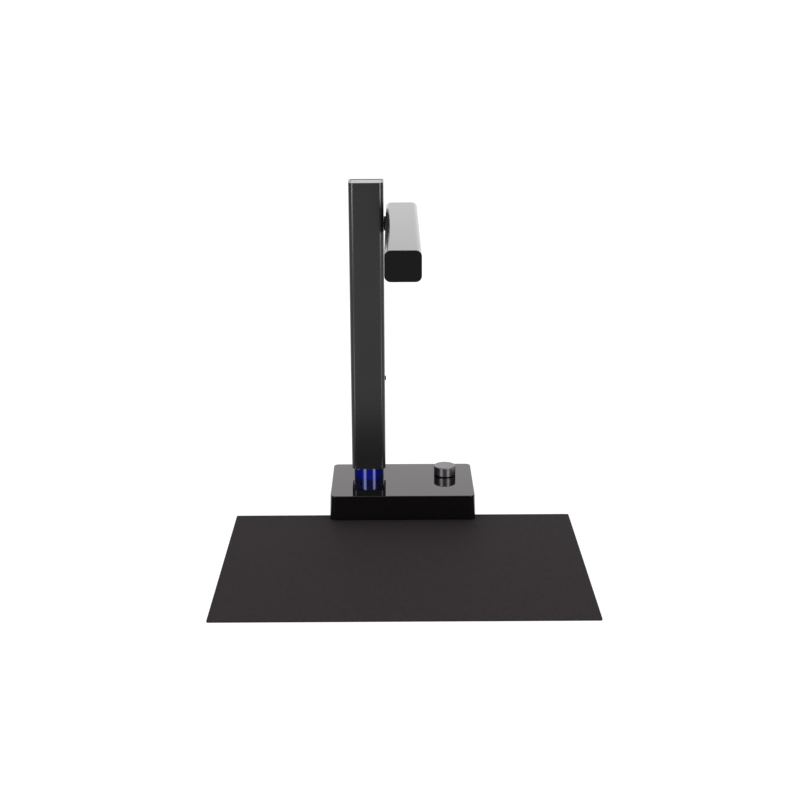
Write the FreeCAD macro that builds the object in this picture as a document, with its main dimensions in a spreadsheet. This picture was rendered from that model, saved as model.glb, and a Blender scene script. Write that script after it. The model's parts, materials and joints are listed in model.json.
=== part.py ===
import FreeCAD, Part
import math
import os
import re

import Sketcher
from FreeCAD import Placement, Rotation, Vector

# Overhead book scanner, in millimetres. +Z is up, +X is to the right, and the
# operator sits on the -Y side. Z = 0 is the table. The origin is below the middle
# of the whole object, mat included.

NAME, VALUE, MEANING = range(3)
DIMENSIONS = [
    # tools that cut
    ("past", 1.0, "how far a cutting tool starts outside a piece"),
    ("through", 30.0, "length of a cutting tool that goes right through a piece"),
    # base housing
    ("base_wide", 152.0, "base width at its bottom edge"),
    ("base_deep", 103.9, "base depth at its bottom edge"),
    ("base_y", 120.0, "base centre"),
    ("base_low", 2.6, "bottom edge of the base housing"),
    ("base_top", 28.6, "top face of the base"),
    ("base_draft", 1.7, "lean of the base's side walls, degrees"),
    ("base_round", 5.5, "base corner radius"),
    ("base_rim", 0.6, "rounding of the base's top edge"),
    ("shell_wall", 2.5, "base housing wall"),
    ("pillar_x", 69.4, "screw pillar offset from the base centre"),
    ("pillar_y", 45.6, "screw pillar offset from the base centre"),
    ("pillar_radius", 3.6, "screw pillar in a corner of the housing"),
    ("pillar_hole_deep", 12.0, "screw hole of a pillar, from the cover's underside"),
    ("ring_seat_play", 0.1, "gap round the light ring in its seat"),
    ("neck_play", 0.3, "gap round the post foot's neck in the housing"),
    ("knob_opening", 3.7, "housing opening round the knob's bushing"),
    # bottom cover
    ("cover_low", 3.0, "underside of the bottom cover"),
    ("cover_thick", 2.4, "bottom cover"),
    ("cover_gap", 0.4, "gap round the bottom cover"),
    ("cover_play", 0.1, "gap between the cover and what stands on it"),
    ("cover_screw_radius", 1.5, "M3 screw"),
    ("cover_screw_head", 2.8, "M3 screw head"),
    ("cover_screw_head_high", 1.2, "M3 screw head"),
    ("cover_screw_long", 9.0, "M3 screw below its head"),
    ("cover_sink_deep", 1.3, "recess for an M3 screw head"),
    ("foot_radius", 6.0, "rubber foot"),
    ("foot_high", 4.0, "rubber foot, of which the last 1 mm sits in the cover"),
    ("foot_bevel", 0.8, "bevel of a foot's lower edge"),
    ("foot_x", 60.0, "foot offset from the middle"),
    ("foot_front_y", 93.5, "front feet, behind the mat's tucked edge"),
    ("foot_back_y", 160.0, "back feet"),
    # ballast and main board
    ("ballast_wide", 122.0, "steel plate"),
    ("ballast_deep", 84.0, "steel plate"),
    ("ballast_thick", 6.0, "steel plate"),
    ("ballast_round", 4.0, "corner of the steel plate"),
    ("board_x", 29.0, "main board centre"),
    ("board_y", 124.0, "main board centre"),
    ("board_wide", 72.0, "main board"),
    ("board_deep", 82.0, "main board"),
    ("board_thick", 1.6, "main board"),
    ("board_round", 2.0, "corner of the main board"),
    ("board_inset", 4.0, "board screw from the board's edge"),
    ("board_hole", 1.3, "screw hole of the main board"),
    ("board_screw", 1.2, "board screw"),
    ("board_screw_head", 2.2, "board screw head"),
    ("board_screw_head_high", 1.4, "board screw head"),
    ("spacer_high", 2.0, "spacer under the main board"),
    ("spacer_radius", 2.6, "spacer under the main board"),
    ("spacer_bore", 1.25, "bore of a spacer"),
    ("chip_x", 14.0, "controller chip centre"),
    ("chip_y", 112.0, "controller chip centre"),
    ("chip_side", 14.0, "controller chip"),
    ("chip_thick", 1.2, "controller chip"),
    ("outlet_x", -2.0, "harness socket centre"),
    ("outlet_y", 130.0, "harness socket centre"),
    ("outlet_wide", 6.0, "harness socket"),
    ("outlet_deep", 9.0, "harness socket"),
    ("outlet_tall", 4.0, "harness socket"),
    # power and data socket
    ("port_x", 30.0, "socket centre"),
    ("port_wide", 8.94, "metal sleeve"),
    ("port_high", 3.26, "metal sleeve"),
    ("port_deep", 8.4, "metal sleeve"),
    ("port_round", 1.55, "corner of the metal sleeve"),
    ("port_skin", 0.3, "metal sleeve's wall"),
    ("port_back", 1.6, "closed back of the sleeve"),
    ("port_mouth_y", 171.2, "mouth of the socket"),
    ("port_play", 0.3, "gap round the sleeve in the housing"),
    ("tongue_wide", 6.6, "tongue in the socket"),
    ("tongue_deep", 5.6, "tongue in the socket"),
    ("tongue_thick", 0.7, "tongue in the socket"),
    ("tongue_from_mouth", 4.2, "tongue's middle from the socket's mouth"),
    # knob and its encoder
    ("encoder_side", 12.4, "encoder case"),
    ("encoder_high", 6.6, "encoder case"),
    ("encoder_floor", 1.4, "floor of the encoder case"),
    ("chamber_radius", 3.6, "push chamber in the encoder"),
    ("chamber_high", 3.8, "push chamber in the encoder"),
    ("collar_radius", 4.8, "collar between encoder and lid"),
    ("bushing_radius", 3.5, "threaded bushing through the lid"),
    ("bushing_high", 2.4, "threaded bushing above the lid"),
    ("plunger_radius", 3.3, "push plunger"),
    ("plunger_high", 1.8, "push plunger"),
    ("plunger_low", 2.5, "push plunger above the board"),
    ("nut_reach", 5.8, "corner of the encoder's nut from its axis"),
    ("nut_high", 2.0, "encoder's nut"),
    ("knob_x", 46.0, "knob centre"),
    ("knob_radius", 11.7, "knob"),
    ("knob_low", 29.3, "lower rim of the knob"),
    ("knob_top", 39.1, "top face of the knob"),
    ("knob_bevel", 0.4, "bevel of the knob's top edge"),
    ("knob_rim", 0.3, "bevel of the knob's lower edge"),
    ("knob_wall", 2.1, "knob's side wall"),
    ("knob_roof", 2.5, "knob's top"),
    ("knob_hub", 5.0, "hub inside the knob"),
    ("knob_shaft", 3.0, "knob shaft"),
    ("knob_flat", 1.6, "flat of the knob shaft from its axis"),
    ("shaft_cover", 3.1, "top of the shaft below the knob's top face"),
    ("shaft_lift", 0.05, "gap between the shaft and the plunger"),
    ("push_travel", 0.5, "how far the knob pushes in"),
    ("push_spare", 0.3, "gap left under the knob's hub when pushed in"),
    # light ring
    ("ring_radius", 16.0, "light ring"),
    ("ring_bore", 14.0, "light ring, inside"),
    ("ring_sunk", 1.1, "depth of the ring's seat in the base"),
    ("strip_gap", 0.1, "gap between the neck and the light strip"),
    ("strip_thick", 0.7, "light strip round the neck"),
    ("strip_margin", 1.0, "light strip from the base and from the post"),
    # foot of the post
    ("neck_radius", 12.8, "round neck of the post's foot"),
    ("wire_bore", 5.0, "wire passage through the post's foot"),
    ("flange_wide", 44.0, "square flange of the post's foot"),
    ("flange_thick", 4.0, "square flange of the post's foot"),
    ("flange_round", 4.0, "corner of the flange"),
    ("leg_offset", 17.0, "legs of the post's foot from its centre"),
    ("leg_radius", 4.0, "leg of the post's foot"),
    ("leg_hole", 2.0, "threaded hole in a leg"),
    ("leg_hole_deep", 9.0, "threaded hole in a leg"),
    ("plug_high", 29.3, "part of the foot inside the post"),
    ("plug_play", 0.2, "gap round that part"),
    ("plug_screw_x", 8.0, "screws of that part from the post's middle"),
    ("plug_screw_up", 15.0, "screws of that part above the post's lower end"),
    ("bolt_hole", 2.1, "clearance hole in the ballast plate"),
    ("bolt_sink", 3.8, "recess for a bolt's head"),
    ("bolt_sink_deep", 3.0, "recess for a bolt's head"),
    ("bolt_radius", 1.95, "M4 bolt"),
    ("bolt_long", 11.0, "M4 bolt below its head"),
    ("bolt_head", 3.5, "M4 bolt head"),
    ("bolt_head_high", 2.8, "M4 bolt head"),
    # post
    ("post_x", -35.9, "post centre"),
    ("post_y", 135.8, "post, hinge and knob centre"),
    ("post_wide", 35.8, "post"),
    ("post_deep", 32.0, "post"),
    ("post_low", 40.7, "bottom end of the post"),
    ("post_top", 346.7, "top end of the post"),
    ("post_round", 5.1, "corner radius of the post's front"),
    ("post_edge", 1.0, "corner radius of the post's back"),
    ("post_wall", 2.0, "post wall"),
    ("post_cap_sunk", 0.3, "top cap below the post's rim"),
    ("post_cap_high", 8.0, "top cap with its skirt"),
    ("post_cap_roof", 2.0, "top of the cap"),
    ("post_cap_play", 0.1, "gap round the cap"),
    ("post_cap_skirt", 1.9, "wall of the cap's skirt"),
    ("post_screw_hole", 1.6, "screw hole in the post's back wall"),
    ("post_screw_radius", 1.4, "countersunk screw"),
    ("post_screw_deep", 8.5, "tip of the screw below the post's back face"),
    ("post_screw_head", 2.8, "countersunk head"),
    ("post_screw_head_high", 1.3, "countersunk head"),
    ("post_sink", 2.9, "countersink in the post's back wall"),
    ("slot_long", 3.6, "cross slot of the screw"),
    ("slot_thin", 0.7, "cross slot of the screw"),
    ("bumper_z", 137.7, "rubber bumper on the post's right face"),
    ("bumper_radius", 2.5, "rubber bumper"),
    ("bumper_proud", 1.2, "rubber bumper outside the post"),
    ("bumper_hole", 1.6, "hole for the bumper's barb"),
    ("barb_neck", 1.5, "neck of the bumper's barb"),
    ("barb_radius", 2.1, "barb of the bumper"),
    ("barb_long", 1.4, "barb behind the post's wall"),
    ("barb_play", 0.1, "gap between the barb and the wall"),
    # hinge, in stations along its axis from the post's right face into the post
    ("hinge_z", 303.0, "hinge axis, along X"),
    ("shaft_radius", 4.0, "hinge shaft"),
    ("shaft_bore", 2.3, "wire passage in the hinge shaft"),
    ("bush_clearance", 0.05, "radial running clearance"),
    ("bush_radius", 5.5, "hinge bush, outside"),
    ("bush_flange", 7.0, "hinge bush, flange"),
    ("bush_flange_thick", 1.0, "hinge bush, flange"),
    ("bush_end", 7.0, "station of the bush's inner end"),
    ("block_thick", 12.0, "cast block that holds the bush"),
    ("block_high", 24.0, "cast block"),
    ("block_play", 2.0, "cast block's front and back gaps together"),
    ("block_bore", 4.4, "cast block's bore"),
    ("block_screw_offset", 8.0, "cast block's screws above and below the axis"),
    ("friction_radius", 6.5, "friction washer"),
    ("friction_bore", 4.3, "friction washer"),
    ("friction_thick", 0.7, "friction washer"),
    ("stop_gap", 0.05, "gap between the friction and stop washers"),
    ("stop_thick", 1.3, "stop washer"),
    ("stop_hub", 6.4, "stop washer's whole part"),
    ("stop_rim", 9.6, "stop washer's notched rim"),
    ("stop_orbit", 8.5, "stop pin from the hinge axis"),
    ("stop_radius", 1.0, "stop pin"),
    ("stop_pin_long", 9.2, "stop pin"),
    ("fold_angle", 90.0, "the arm folds this far down, degrees"),
    ("stop_margin", 1.7, "free play at each end of the stop, degrees"),
    ("spring_bore", 4.1, "cone spring washer"),
    ("spring_radius", 6.2, "cone spring washer"),
    ("spring_cone", 0.9, "cone of a spring washer"),
    ("spring_thick", 0.6, "sheet of a spring washer"),
    ("spring_pair", 3.1, "room for the two spring washers"),
    ("lock_nut_reach", 6.3, "corner of the lock nut from its axis"),
    ("lock_nut_high", 3.5, "lock nut"),
    ("shaft_spare", 0.9, "shaft past the lock nut"),
    ("wire_meet", 9.0, "station where the two lengths of cable meet"),
    # hinge, arm side
    ("boss_radius", 7.4, "pivot boss between post and arm"),
    ("boss_gap", 0.2, "gap between the pivot boss and the post"),
    ("disc_thick", 2.5, "disc of the hinge shaft inside the arm"),
    ("disc_flat_gap", 0.2, "gap under the disc's flat"),
    ("screw_orbit", 5.7, "disc screws from the hinge axis"),
    ("disc_hole", 1.0, "screw hole of the disc"),
    ("disc_screw", 0.95, "disc screw"),
    ("disc_screw_long", 5.7, "disc screw"),
    ("disc_screw_head", 1.7, "disc screw head"),
    ("disc_screw_head_high", 0.9, "disc screw head"),
    ("arm_screw_hole", 1.1, "screw hole in the arm's wall"),
    ("boss_hole_deep", 1.6, "screw hole in the pivot boss"),
    # arm housing
    ("arm_x", 0.4, "arm centre"),
    ("arm_wide", 32.4, "arm"),
    ("arm_high", 27.4, "arm"),
    ("arm_low", 294.2, "underside of the arm"),
    ("arm_front", -120.0, "front end of the arm"),
    ("arm_back", 155.0, "back end of the arm"),
    ("arm_round", 5.4, "arm corner radius"),
    ("arm_round_inside", 2.5, "arm corner radius, inside"),
    ("arm_wall", 1.8, "arm wall"),
    ("arm_hole_play", 0.1, "gap round the hinge shaft in the arm's wall"),
    ("arm_cap", 2.0, "plate of an arm end cap"),
    ("arm_cap_edge", 0.7, "rounding of an end cap's outer edge"),
    ("arm_plug", 6.0, "part of an end cap inside the arm"),
    ("arm_plug_side", 2.0, "gap beside that part"),
    ("arm_plug_above", 4.0, "gap above and below that part"),
    ("slot_wide", 21.0, "slot along the arm's underside"),
    ("skin_play", 0.2, "gap round the bottom cover in the slot"),
    ("ledge_wide", 24.4, "inner flange of the arm's bottom cover"),
    ("ledge_thick", 1.4, "inner flange of the arm's bottom cover"),
    ("ledge_gap", 0.1, "gap between the flange and the arm"),
    ("ledge_short", 8.0, "inner flange from each end of the arm's tube"),
    # camera, in heights above the arm's underside
    ("lens_y", -44.0, "lens axis, above the middle of the mat"),
    ("window_radius", 8.0, "opening for the lens window"),
    ("window_low", 0.6, "lens window"),
    ("window_thick", 1.2, "lens window"),
    ("window_ledge", 0.9, "ledge that the window rests on"),
    ("barrel_low", 3.9, "lens barrel"),
    ("barrel_long", 8.5, "lens barrel"),
    ("barrel_radius", 6.4, "lens barrel"),
    ("barrel_lip", 6.9, "front lip of the barrel"),
    ("barrel_lip_long", 1.5, "front lip of the barrel"),
    ("barrel_step", 5.0, "where the barrel's bore narrows"),
    ("barrel_front_bore", 4.6, "barrel's front bore"),
    ("barrel_rear_bore", 3.8, "barrel's rear bore"),
    ("glass_play", 0.05, "gap round a lens"),
    ("front_glass_low", 4.3, "front lens"),
    ("front_glass_high", 2.9, "front lens"),
    ("front_glass_curve", 9.0, "radius of the front lens's face"),
    ("rear_glass_low", 9.6, "rear lens"),
    ("rear_glass_high", 1.8, "rear lens"),
    ("holder_low", 7.0, "lens holder"),
    ("holder_side", 16.0, "block of the lens holder"),
    ("holder_high", 7.0, "block of the lens holder"),
    ("holder_seat", 5.6, "depth of the holder's bore"),
    ("holder_stop", 4.0, "light opening over the barrel"),
    ("holder_top", 15.0, "top of the lens holder"),
    ("holder_flange", 25.0, "flange of the holder, and the sensor board"),
    ("holder_flange_thick", 2.0, "flange of the holder"),
    ("chamber_side", 12.0, "sensor chamber in the holder"),
    ("filter_side", 9.0, "filter glass"),
    ("filter_thick", 0.4, "filter glass"),
    ("sensor_side", 8.5, "image sensor"),
    ("sensor_thick", 1.0, "image sensor"),
    ("sensor_board_thick", 1.0, "sensor board"),
    ("camera_pitch", 10.0, "camera screws from the lens axis, each way"),
    ("camera_post", 2.0, "post under a camera screw"),
    ("camera_hole", 1.1, "clearance hole for a camera screw"),
    ("camera_screw", 0.8, "camera screw"),
    ("camera_screw_long", 6.9, "camera screw below its head"),
    ("camera_screw_head", 1.6, "camera screw head"),
    ("camera_screw_head_high", 1.0, "camera screw head"),
    ("camera_thread_deep", 7.0, "threaded hole below the holder's top"),
    ("camera_socket_wide", 6.0, "cable socket of the sensor board"),
    ("camera_socket_deep", 4.0, "cable socket of the sensor board"),
    ("camera_socket_tall", 3.2, "cable socket of the sensor board"),
    ("camera_socket_y", 9.0, "cable socket behind the lens axis"),
    # lamps
    ("lamp_pitch", 40.0, "each lamp from the lens axis"),
    ("lamp_wide", 14.0, "lamp opening"),
    ("lamp_long", 30.0, "lamp opening"),
    ("lamp_ledge", 1.0, "ledge round the diffuser"),
    ("lamp_board_wide", 18.0, "lamp board"),
    ("lamp_board_long", 33.0, "lamp board"),
    ("lamp_board_thick", 1.0, "lamp board"),
    ("diffuser_play", 0.05, "gap round the diffuser"),
    ("diffuser_low", 0.1, "diffuser above the arm's underside"),
    ("led_wide", 2.8, "light-emitting chip"),
    ("led_long", 3.5, "light-emitting chip"),
    ("led_thick", 0.6, "light-emitting chip"),
    ("led_column", 3.0, "chips from the lamp's middle line"),
    ("led_row", 9.0, "chips along the lamp"),
    # cable harness
    ("wire_radius", 1.5, "cable"),
    ("wire_floor", 17.2, "cable above the table in the base"),
    ("wire_side", 11.9, "cable from the post's middle, past the hinge"),
    ("wire_run", 17.7, "cable above the arm's underside"),
    # document mat
    ("mat_wide", 350.0, "document mat"),
    ("mat_front", -172.0, "front edge of the mat"),
    ("mat_back", 84.3, "back edge of the mat, under the base's front edge"),
    ("mat_thick", 2.0, "document mat"),
    ("mat_round", 1.5, "mat corner radius"),
]
DIM = {row[NAME]: row[VALUE] for row in DIMENSIONS}

# Turns that lay an axis of a piece, which it is drawn along as Z, along a row axis.
LAY = {
    "Z": Rotation(),
    "Y": Rotation(Vector(1, 0, 0), -90),
    "X": Rotation(Vector(1, 1, 1), 120),
    "-X": Rotation(Vector(0, 1, 0), -90),
}

NEAR = 0.01  # lengths closer than this count as equal
VOLUME_ERROR = 0.02  # share of its volume by which a swept cable may differ from section times length
SOCKET_GAP = 0.4  # gap between a cable end and its socket
UPRIGHT = 0.9  # an edge that rises by this share of its length counts as upright

doc = FreeCAD.newDocument("book_scanner")
nodes = []


def make_sheet():
    sheet = doc.addObject("Spreadsheet::Sheet", "dims")
    for row, (name, value, meaning) in enumerate(DIMENSIONS, 1):
        sheet.set(f"A{row}", meaning)
        sheet.set(f"B{row}", str(value))
        sheet.setAlias(f"B{row}", name)
    doc.recompute()


def in_sheet(formula):
    """Puts the sheet's name before each dimension in a formula."""
    return re.sub(r"[a-z_]+", lambda word: f"dims.{word[0]}" if word[0] in DIM else word[0], formula)


def bind(item, **formulas):
    for name, formula in formulas.items():
        item.setExpression(name, in_sheet(formula))


def place(item, x="0", y="0", z="0", lay="Z"):
    item.Placement = Placement(Vector(), LAY[lay])
    for axis, formula in zip("xyz", (x, y, z)):
        item.setExpression(f".Placement.Base.{axis}", in_sheet(formula))
    return item


def node(item):
    """Marks a finished piece, which is written to its own file."""
    nodes.append(item)
    return item


# ---------------------------------------------------------------- solids


def box(name, wide, deep, high, x="0", y="0", z="0"):
    """A box centred on x and y that stands on z."""
    item = doc.addObject("Part::Box", name)
    bind(item, Length=wide, Width=deep, Height=high)
    return place(item, f"({x}) - ({wide}) / 2", f"({y}) - ({deep}) / 2", z)


def rod(name, radius, length, x="0", y="0", z="0", lay="Z"):
    item = doc.addObject("Part::Cylinder", name)
    bind(item, Radius=radius, Height=length)
    return place(item, x, y, z, lay)


def joined(kind, name, items):
    item = doc.addObject(kind, name)
    if kind == "Part::Compound":
        item.Links = items
    else:
        item.Shapes = items
    return item


def fuse(name, *items):
    return joined("Part::MultiFuse", name, list(items))


def group(name, items):
    """Identical loose pieces that share a node."""
    return joined("Part::Compound", name, list(items))


def cut(name, base, *tools):
    item = doc.addObject("Part::Cut", name)
    item.Base = base
    item.Tool = tools[0] if len(tools) == 1 else fuse(f"{name}_openings", *tools)
    return item


def common(name, first, second):
    item = doc.addObject("Part::Common", name)
    item.Base = first
    item.Tool = second
    return item


# ------------------------------------------------- sketched solids


def new_body(name, x="0", y="0", z="0", lay="Z"):
    return place(doc.addObject("PartDesign::Body", name), x, y, z, lay)


def add_sketch(body, name, role="XY_Plane", height="0"):
    sketch = body.newObject("Sketcher::SketchObject", name)
    plane = next(item for item in body.Origin.OriginFeatures if item.Role == role)
    sketch.AttachmentSupport = [(plane, "")]
    sketch.MapMode = "FlatFace"
    sketch.setExpression("AttachmentOffset.Base.z", in_sheet(height))
    return sketch


def fix(sketch, kind, formula, *places):
    index = sketch.addConstraint(Sketcher.Constraint(kind, *places, 1.0))
    sketch.setExpression(f"Constraints[{index}]", in_sheet(formula))


def add_outline(sketch, corners):
    """A closed outline of straight sides through corners given as formulas."""
    count = len(corners)
    turns = [2 * math.pi * index / count for index in range(count)]
    rough = [Vector(math.cos(turn), math.sin(turn)) for turn in turns]
    for index in range(count):
        sketch.addGeometry(Part.LineSegment(rough[index], rough[(index + 1) % count]), False)
    for index, (across, up) in enumerate(corners):
        sketch.addConstraint(Sketcher.Constraint("Coincident", index, 2, (index + 1) % count, 1))
        fix(sketch, "DistanceX", across, -1, 1, index, 1)
        fix(sketch, "DistanceY", up, -1, 1, index, 1)


def add_rectangle(sketch, wide, deep):
    half_wide = f"({wide}) / 2"
    half_deep = f"({deep}) / 2"
    add_outline(sketch, [
        (f"-{half_wide}", f"-{half_deep}"),
        (half_wide, f"-{half_deep}"),
        (half_wide, half_deep),
        (f"-{half_wide}", half_deep),
    ])


def add_circle(sketch, radius, across="0", up="0"):
    index = sketch.addGeometry(Part.Circle(Vector(), Vector(0, 0, 1), 1), False)
    fix(sketch, "Radius", radius, index)
    fix(sketch, "DistanceX", across, -1, 1, index, 3)
    fix(sketch, "DistanceY", up, -1, 1, index, 3)


def add_pad(body, sketch, length, **more):
    pad = body.newObject("PartDesign::Pad", f"{sketch.Name}_pad")
    pad.Profile = sketch
    bind(pad, Length=length, **more)
    doc.recompute()
    return pad


def add_pocket(body, sketch, length, up=False):
    """Cuts down from the sketch, or up from it."""
    before = body.Shape.Volume
    pocket = body.newObject("PartDesign::Pocket", f"{sketch.Name}_pocket")
    pocket.Profile = sketch
    pocket.Reversed = up
    bind(pocket, Length=length)
    doc.recompute()
    if body.Shape.Volume > before - NEAR:
        raise ValueError(f"{pocket.Name} removes nothing")
    return pocket


def edges_where(feature, test):
    return [f"Edge{number}" for number, edge in enumerate(feature.Shape.Edges, 1) if test(edge)]


def add_fillet(body, feature, test, radius):
    fillet = body.newObject("PartDesign::Fillet", f"{feature.Name}_fillet")
    fillet.Base = (feature, edges_where(feature, test))
    bind(fillet, Radius=radius)
    doc.recompute()
    return fillet


def goes_up(edge):
    ends = [vertex.Point for vertex in edge.Vertexes]
    return len(ends) == 2 and abs(ends[0].z - ends[1].z) > UPRIGHT * edge.Length


def front_upright(edge):
    return goes_up(edge) and edge.BoundBox.YMax < 0


def back_upright(edge):
    return goes_up(edge) and edge.BoundBox.YMin > 0


def lies_at(height):
    return lambda edge: abs(edge.BoundBox.ZMin - height) < NEAR and abs(edge.BoundBox.ZMax - height) < NEAR


def bar(name, wide, deep, length, corner, x="0", y="0", z="0", lay="Z"):
    """A straight bar of rounded rectangular section, from z up or along a row axis."""
    body = new_body(name, x, y, z, lay)
    sketch = add_sketch(body, f"{name}_section")
    add_rectangle(sketch, wide, deep)
    add_fillet(body, add_pad(body, sketch, length), goes_up, corner)
    return body


def turned(name, outline, x="0", y="0", z="0", lay="Z"):
    """A piece turned about its Z axis, from corners given as radius and height."""
    body = new_body(name, x, y, z, lay)
    sketch = add_sketch(body, f"{name}_section", "XZ_Plane")
    add_outline(sketch, outline)
    turn = body.newObject("PartDesign::Revolution", f"{name}_turn")
    turn.Profile = sketch
    turn.ReferenceAxis = (sketch, ["V_Axis"])
    turn.Angle = 360
    doc.recompute()
    return body


def ring(name, outer, inner, length, x="0", y="0", z="0", lay="Z"):
    outline = [(inner, "0"), (outer, "0"), (outer, length), (inner, length)]
    return turned(name, outline, x, y, z, lay)


def hexagon(name, reach, high, **spot):
    """A six-sided prism whose corners lie at reach from its axis."""
    prism = doc.addObject("Part::Prism", name)
    prism.Polygon = 6
    bind(prism, Circumradius=reach, Height=high)
    return place(prism, **spot)


def corners(x, y, step_x, step_y):
    """The four corners of a rectangle about a point, as formulas."""
    return [(f"{x} {sx} {step_x}", f"{y} {sy} {step_y}") for sx in "-+" for sy in "-+"]


# ---------------------------------------------------------------- base

PILLARS = corners("0", "base_y", "pillar_x", "pillar_y")
LEGS = corners("post_x", "post_y", "leg_offset", "leg_offset")
BOARD_SCREWS = corners(
    "board_x", "board_y", "(board_wide / 2 - board_inset)", "(board_deep / 2 - board_inset)"
)
FEET = [(f"{side} foot_x", row) for side in "-+" for row in ("foot_front_y", "foot_back_y")]
CEILING = "(base_top - shell_wall)"
COVER_TOP = "(cover_low + cover_thick + cover_play)"
BALLAST_TOP = f"({COVER_TOP} + ballast_thick)"
BOARD_LOW = f"({BALLAST_TOP} + spacer_high)"
BOARD_TOP = f"({BOARD_LOW} + board_thick)"
PORT_Z = f"({BOARD_TOP} + port_high / 2)"


def make_base_top_shell():
    body = new_body("base_housing", "0", "base_y", "base_low")
    outline = add_sketch(body, "housing_outline")
    add_rectangle(outline, "base_wide", "base_deep")
    block = add_pad(body, outline, "base_top - base_low", TaperAngle="-base_draft")
    rounded = add_fillet(body, block, goes_up, "base_round")
    hollow = body.newObject("PartDesign::Thickness", "housing_hollow")
    faces = enumerate(rounded.Shape.Faces, 1)
    floor = [f"Face{number}" for number, face in faces if abs(face.CenterOfMass.z) < NEAR]
    hollow.Base = (rounded, floor)
    hollow.Reversed = True
    bind(hollow, Value="shell_wall")
    doc.recompute()
    add_fillet(body, hollow, lies_at(DIM["base_top"] - DIM["base_low"]), "base_rim")
    seat = add_sketch(body, "ring_seat", height="base_top - base_low")
    add_circle(seat, "ring_radius + ring_seat_play", "post_x", "post_y - base_y")
    add_pocket(body, seat, "ring_sunk")
    pillars = add_sketch(body, "pillars", height=f"{COVER_TOP} - base_low")
    for side_x in "-+":
        for side_y in "-+":
            add_circle(pillars, "pillar_radius", f"{side_x} pillar_x", f"{side_y} pillar_y")
    add_pad(body, pillars, f"base_top - shell_wall / 2 - {COVER_TOP}")
    openings = [
        rod("neck_opening", "neck_radius + neck_play", "base_top + past", "post_x", "post_y"),
        rod("knob_opening", "knob_opening", "base_top + past", "knob_x", "post_y"),
        bar("port_opening", "port_wide + 2 * port_play", "port_high + 2 * port_play", "port_deep",
            "port_round", "port_x", "port_mouth_y - port_deep / 2", PORT_Z, "Y"),
    ]
    for number, (x, y) in enumerate(PILLARS):
        hole = rod(f"pillar_hole_{number}", "cover_screw_radius", "pillar_hole_deep", x, y, "cover_low")
        openings.append(hole)
    node(cut("base_top_shell", body, *openings))


def make_base_bottom_cover():
    inner = "- 2 * (shell_wall + cover_gap)"
    plate = bar("cover_plate", f"base_wide {inner}", f"base_deep {inner}", "cover_thick",
                "base_round - shell_wall", "0", "base_y", "cover_low")
    openings = []
    for number, (x, y) in enumerate(PILLARS):
        openings.append(rod(f"cover_hole_{number}", "cover_screw_radius + cover_play", "through", x, y))
        openings.append(rod(f"cover_sink_{number}", "cover_screw_head + 2 * cover_play",
                            "cover_low + cover_sink_deep", x, y))
    for number, (x, y) in enumerate(FEET):
        openings.append(rod(f"foot_recess_{number}", "foot_radius + cover_play", "foot_high", x, y))
    node(cut("base_bottom_cover", plate, *openings))


def make_cover_screws():
    screws = []
    for number, (x, y) in enumerate(PILLARS):
        head = rod(f"cover_screw_head_{number}", "cover_screw_head", "cover_screw_head_high",
                   x, y, "cover_low + cover_play")
        shank = rod(f"cover_screw_shank_{number}", "cover_screw_radius", "cover_screw_long",
                    x, y, "cover_low + cover_screw_head_high")
        screws.append(fuse(f"cover_screw_{number}", head, shank))
    node(group("cover_screws", screws))


def make_rubber_feet():
    outline = [
        ("0", "0"),
        ("foot_radius - foot_bevel", "0"),
        ("foot_radius", "foot_bevel"),
        ("foot_radius", "foot_high"),
        ("0", "foot_high"),
    ]
    feet = [turned(f"foot_{number}", outline, x, y) for number, (x, y) in enumerate(FEET)]
    node(group("rubber_feet", feet))


def make_ballast_plate():
    plate = bar("ballast_blank", "ballast_wide", "ballast_deep", "ballast_thick", "ballast_round",
                "0", "base_y", COVER_TOP)
    openings = []
    for number, (x, y) in enumerate(LEGS):
        openings.append(rod(f"bolt_hole_{number}", "bolt_hole", "through", x, y))
        openings.append(rod(f"bolt_sink_{number}", "bolt_sink", f"{COVER_TOP} + bolt_sink_deep", x, y))
    node(cut("ballast_plate", plate, *openings))


def make_main_board():
    plate = bar("board_blank", "board_wide", "board_deep", "board_thick", "board_round",
                "board_x", "board_y", BOARD_LOW)
    holes = []
    spacers = []
    screws = []
    for number, (x, y) in enumerate(BOARD_SCREWS):
        holes.append(rod(f"board_hole_{number}", "board_hole", "through", x, y))
        spacers.append(ring(f"board_spacer_{number}", "spacer_radius", "spacer_bore", "spacer_high",
                            x, y, BALLAST_TOP))
        shank = rod(f"board_screw_shank_{number}", "board_screw", "board_thick + spacer_high",
                    x, y, BALLAST_TOP)
        head = rod(f"board_screw_head_{number}", "board_screw_head", "board_screw_head_high",
                   x, y, BOARD_TOP)
        screws.append(fuse(f"board_screw_{number}", shank, head))
    node(cut("main_board", plate, *holes))
    node(group("board_spacers", spacers))
    node(group("board_screws", screws))
    node(box("controller_chip", "chip_side", "chip_side", "chip_thick", "chip_x", "chip_y", BOARD_TOP))
    node(box("harness_socket", "outlet_wide", "outlet_deep", "outlet_tall",
             "outlet_x", "outlet_y", BOARD_TOP))


def make_usb_socket():
    """A flat rounded metal sleeve with a closed back and a tongue inside."""
    start = "port_mouth_y - port_deep"
    sleeve = bar("port_sleeve", "port_wide", "port_high", "port_deep", "port_round",
                 "port_x", start, PORT_Z, "Y")
    mouth = bar("port_mouth", "port_wide - 2 * port_skin", "port_high - 2 * port_skin", "port_deep",
                "port_round - port_skin", "port_x", f"{start} + port_back", PORT_Z, "Y")
    tongue = box("port_tongue", "tongue_wide", "tongue_deep", "tongue_thick",
                 "port_x", "port_mouth_y - tongue_from_mouth", f"{PORT_Z} - tongue_thick / 2")
    node(fuse("usb_socket", cut("port_shell", sleeve, mouth), tongue))


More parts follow.
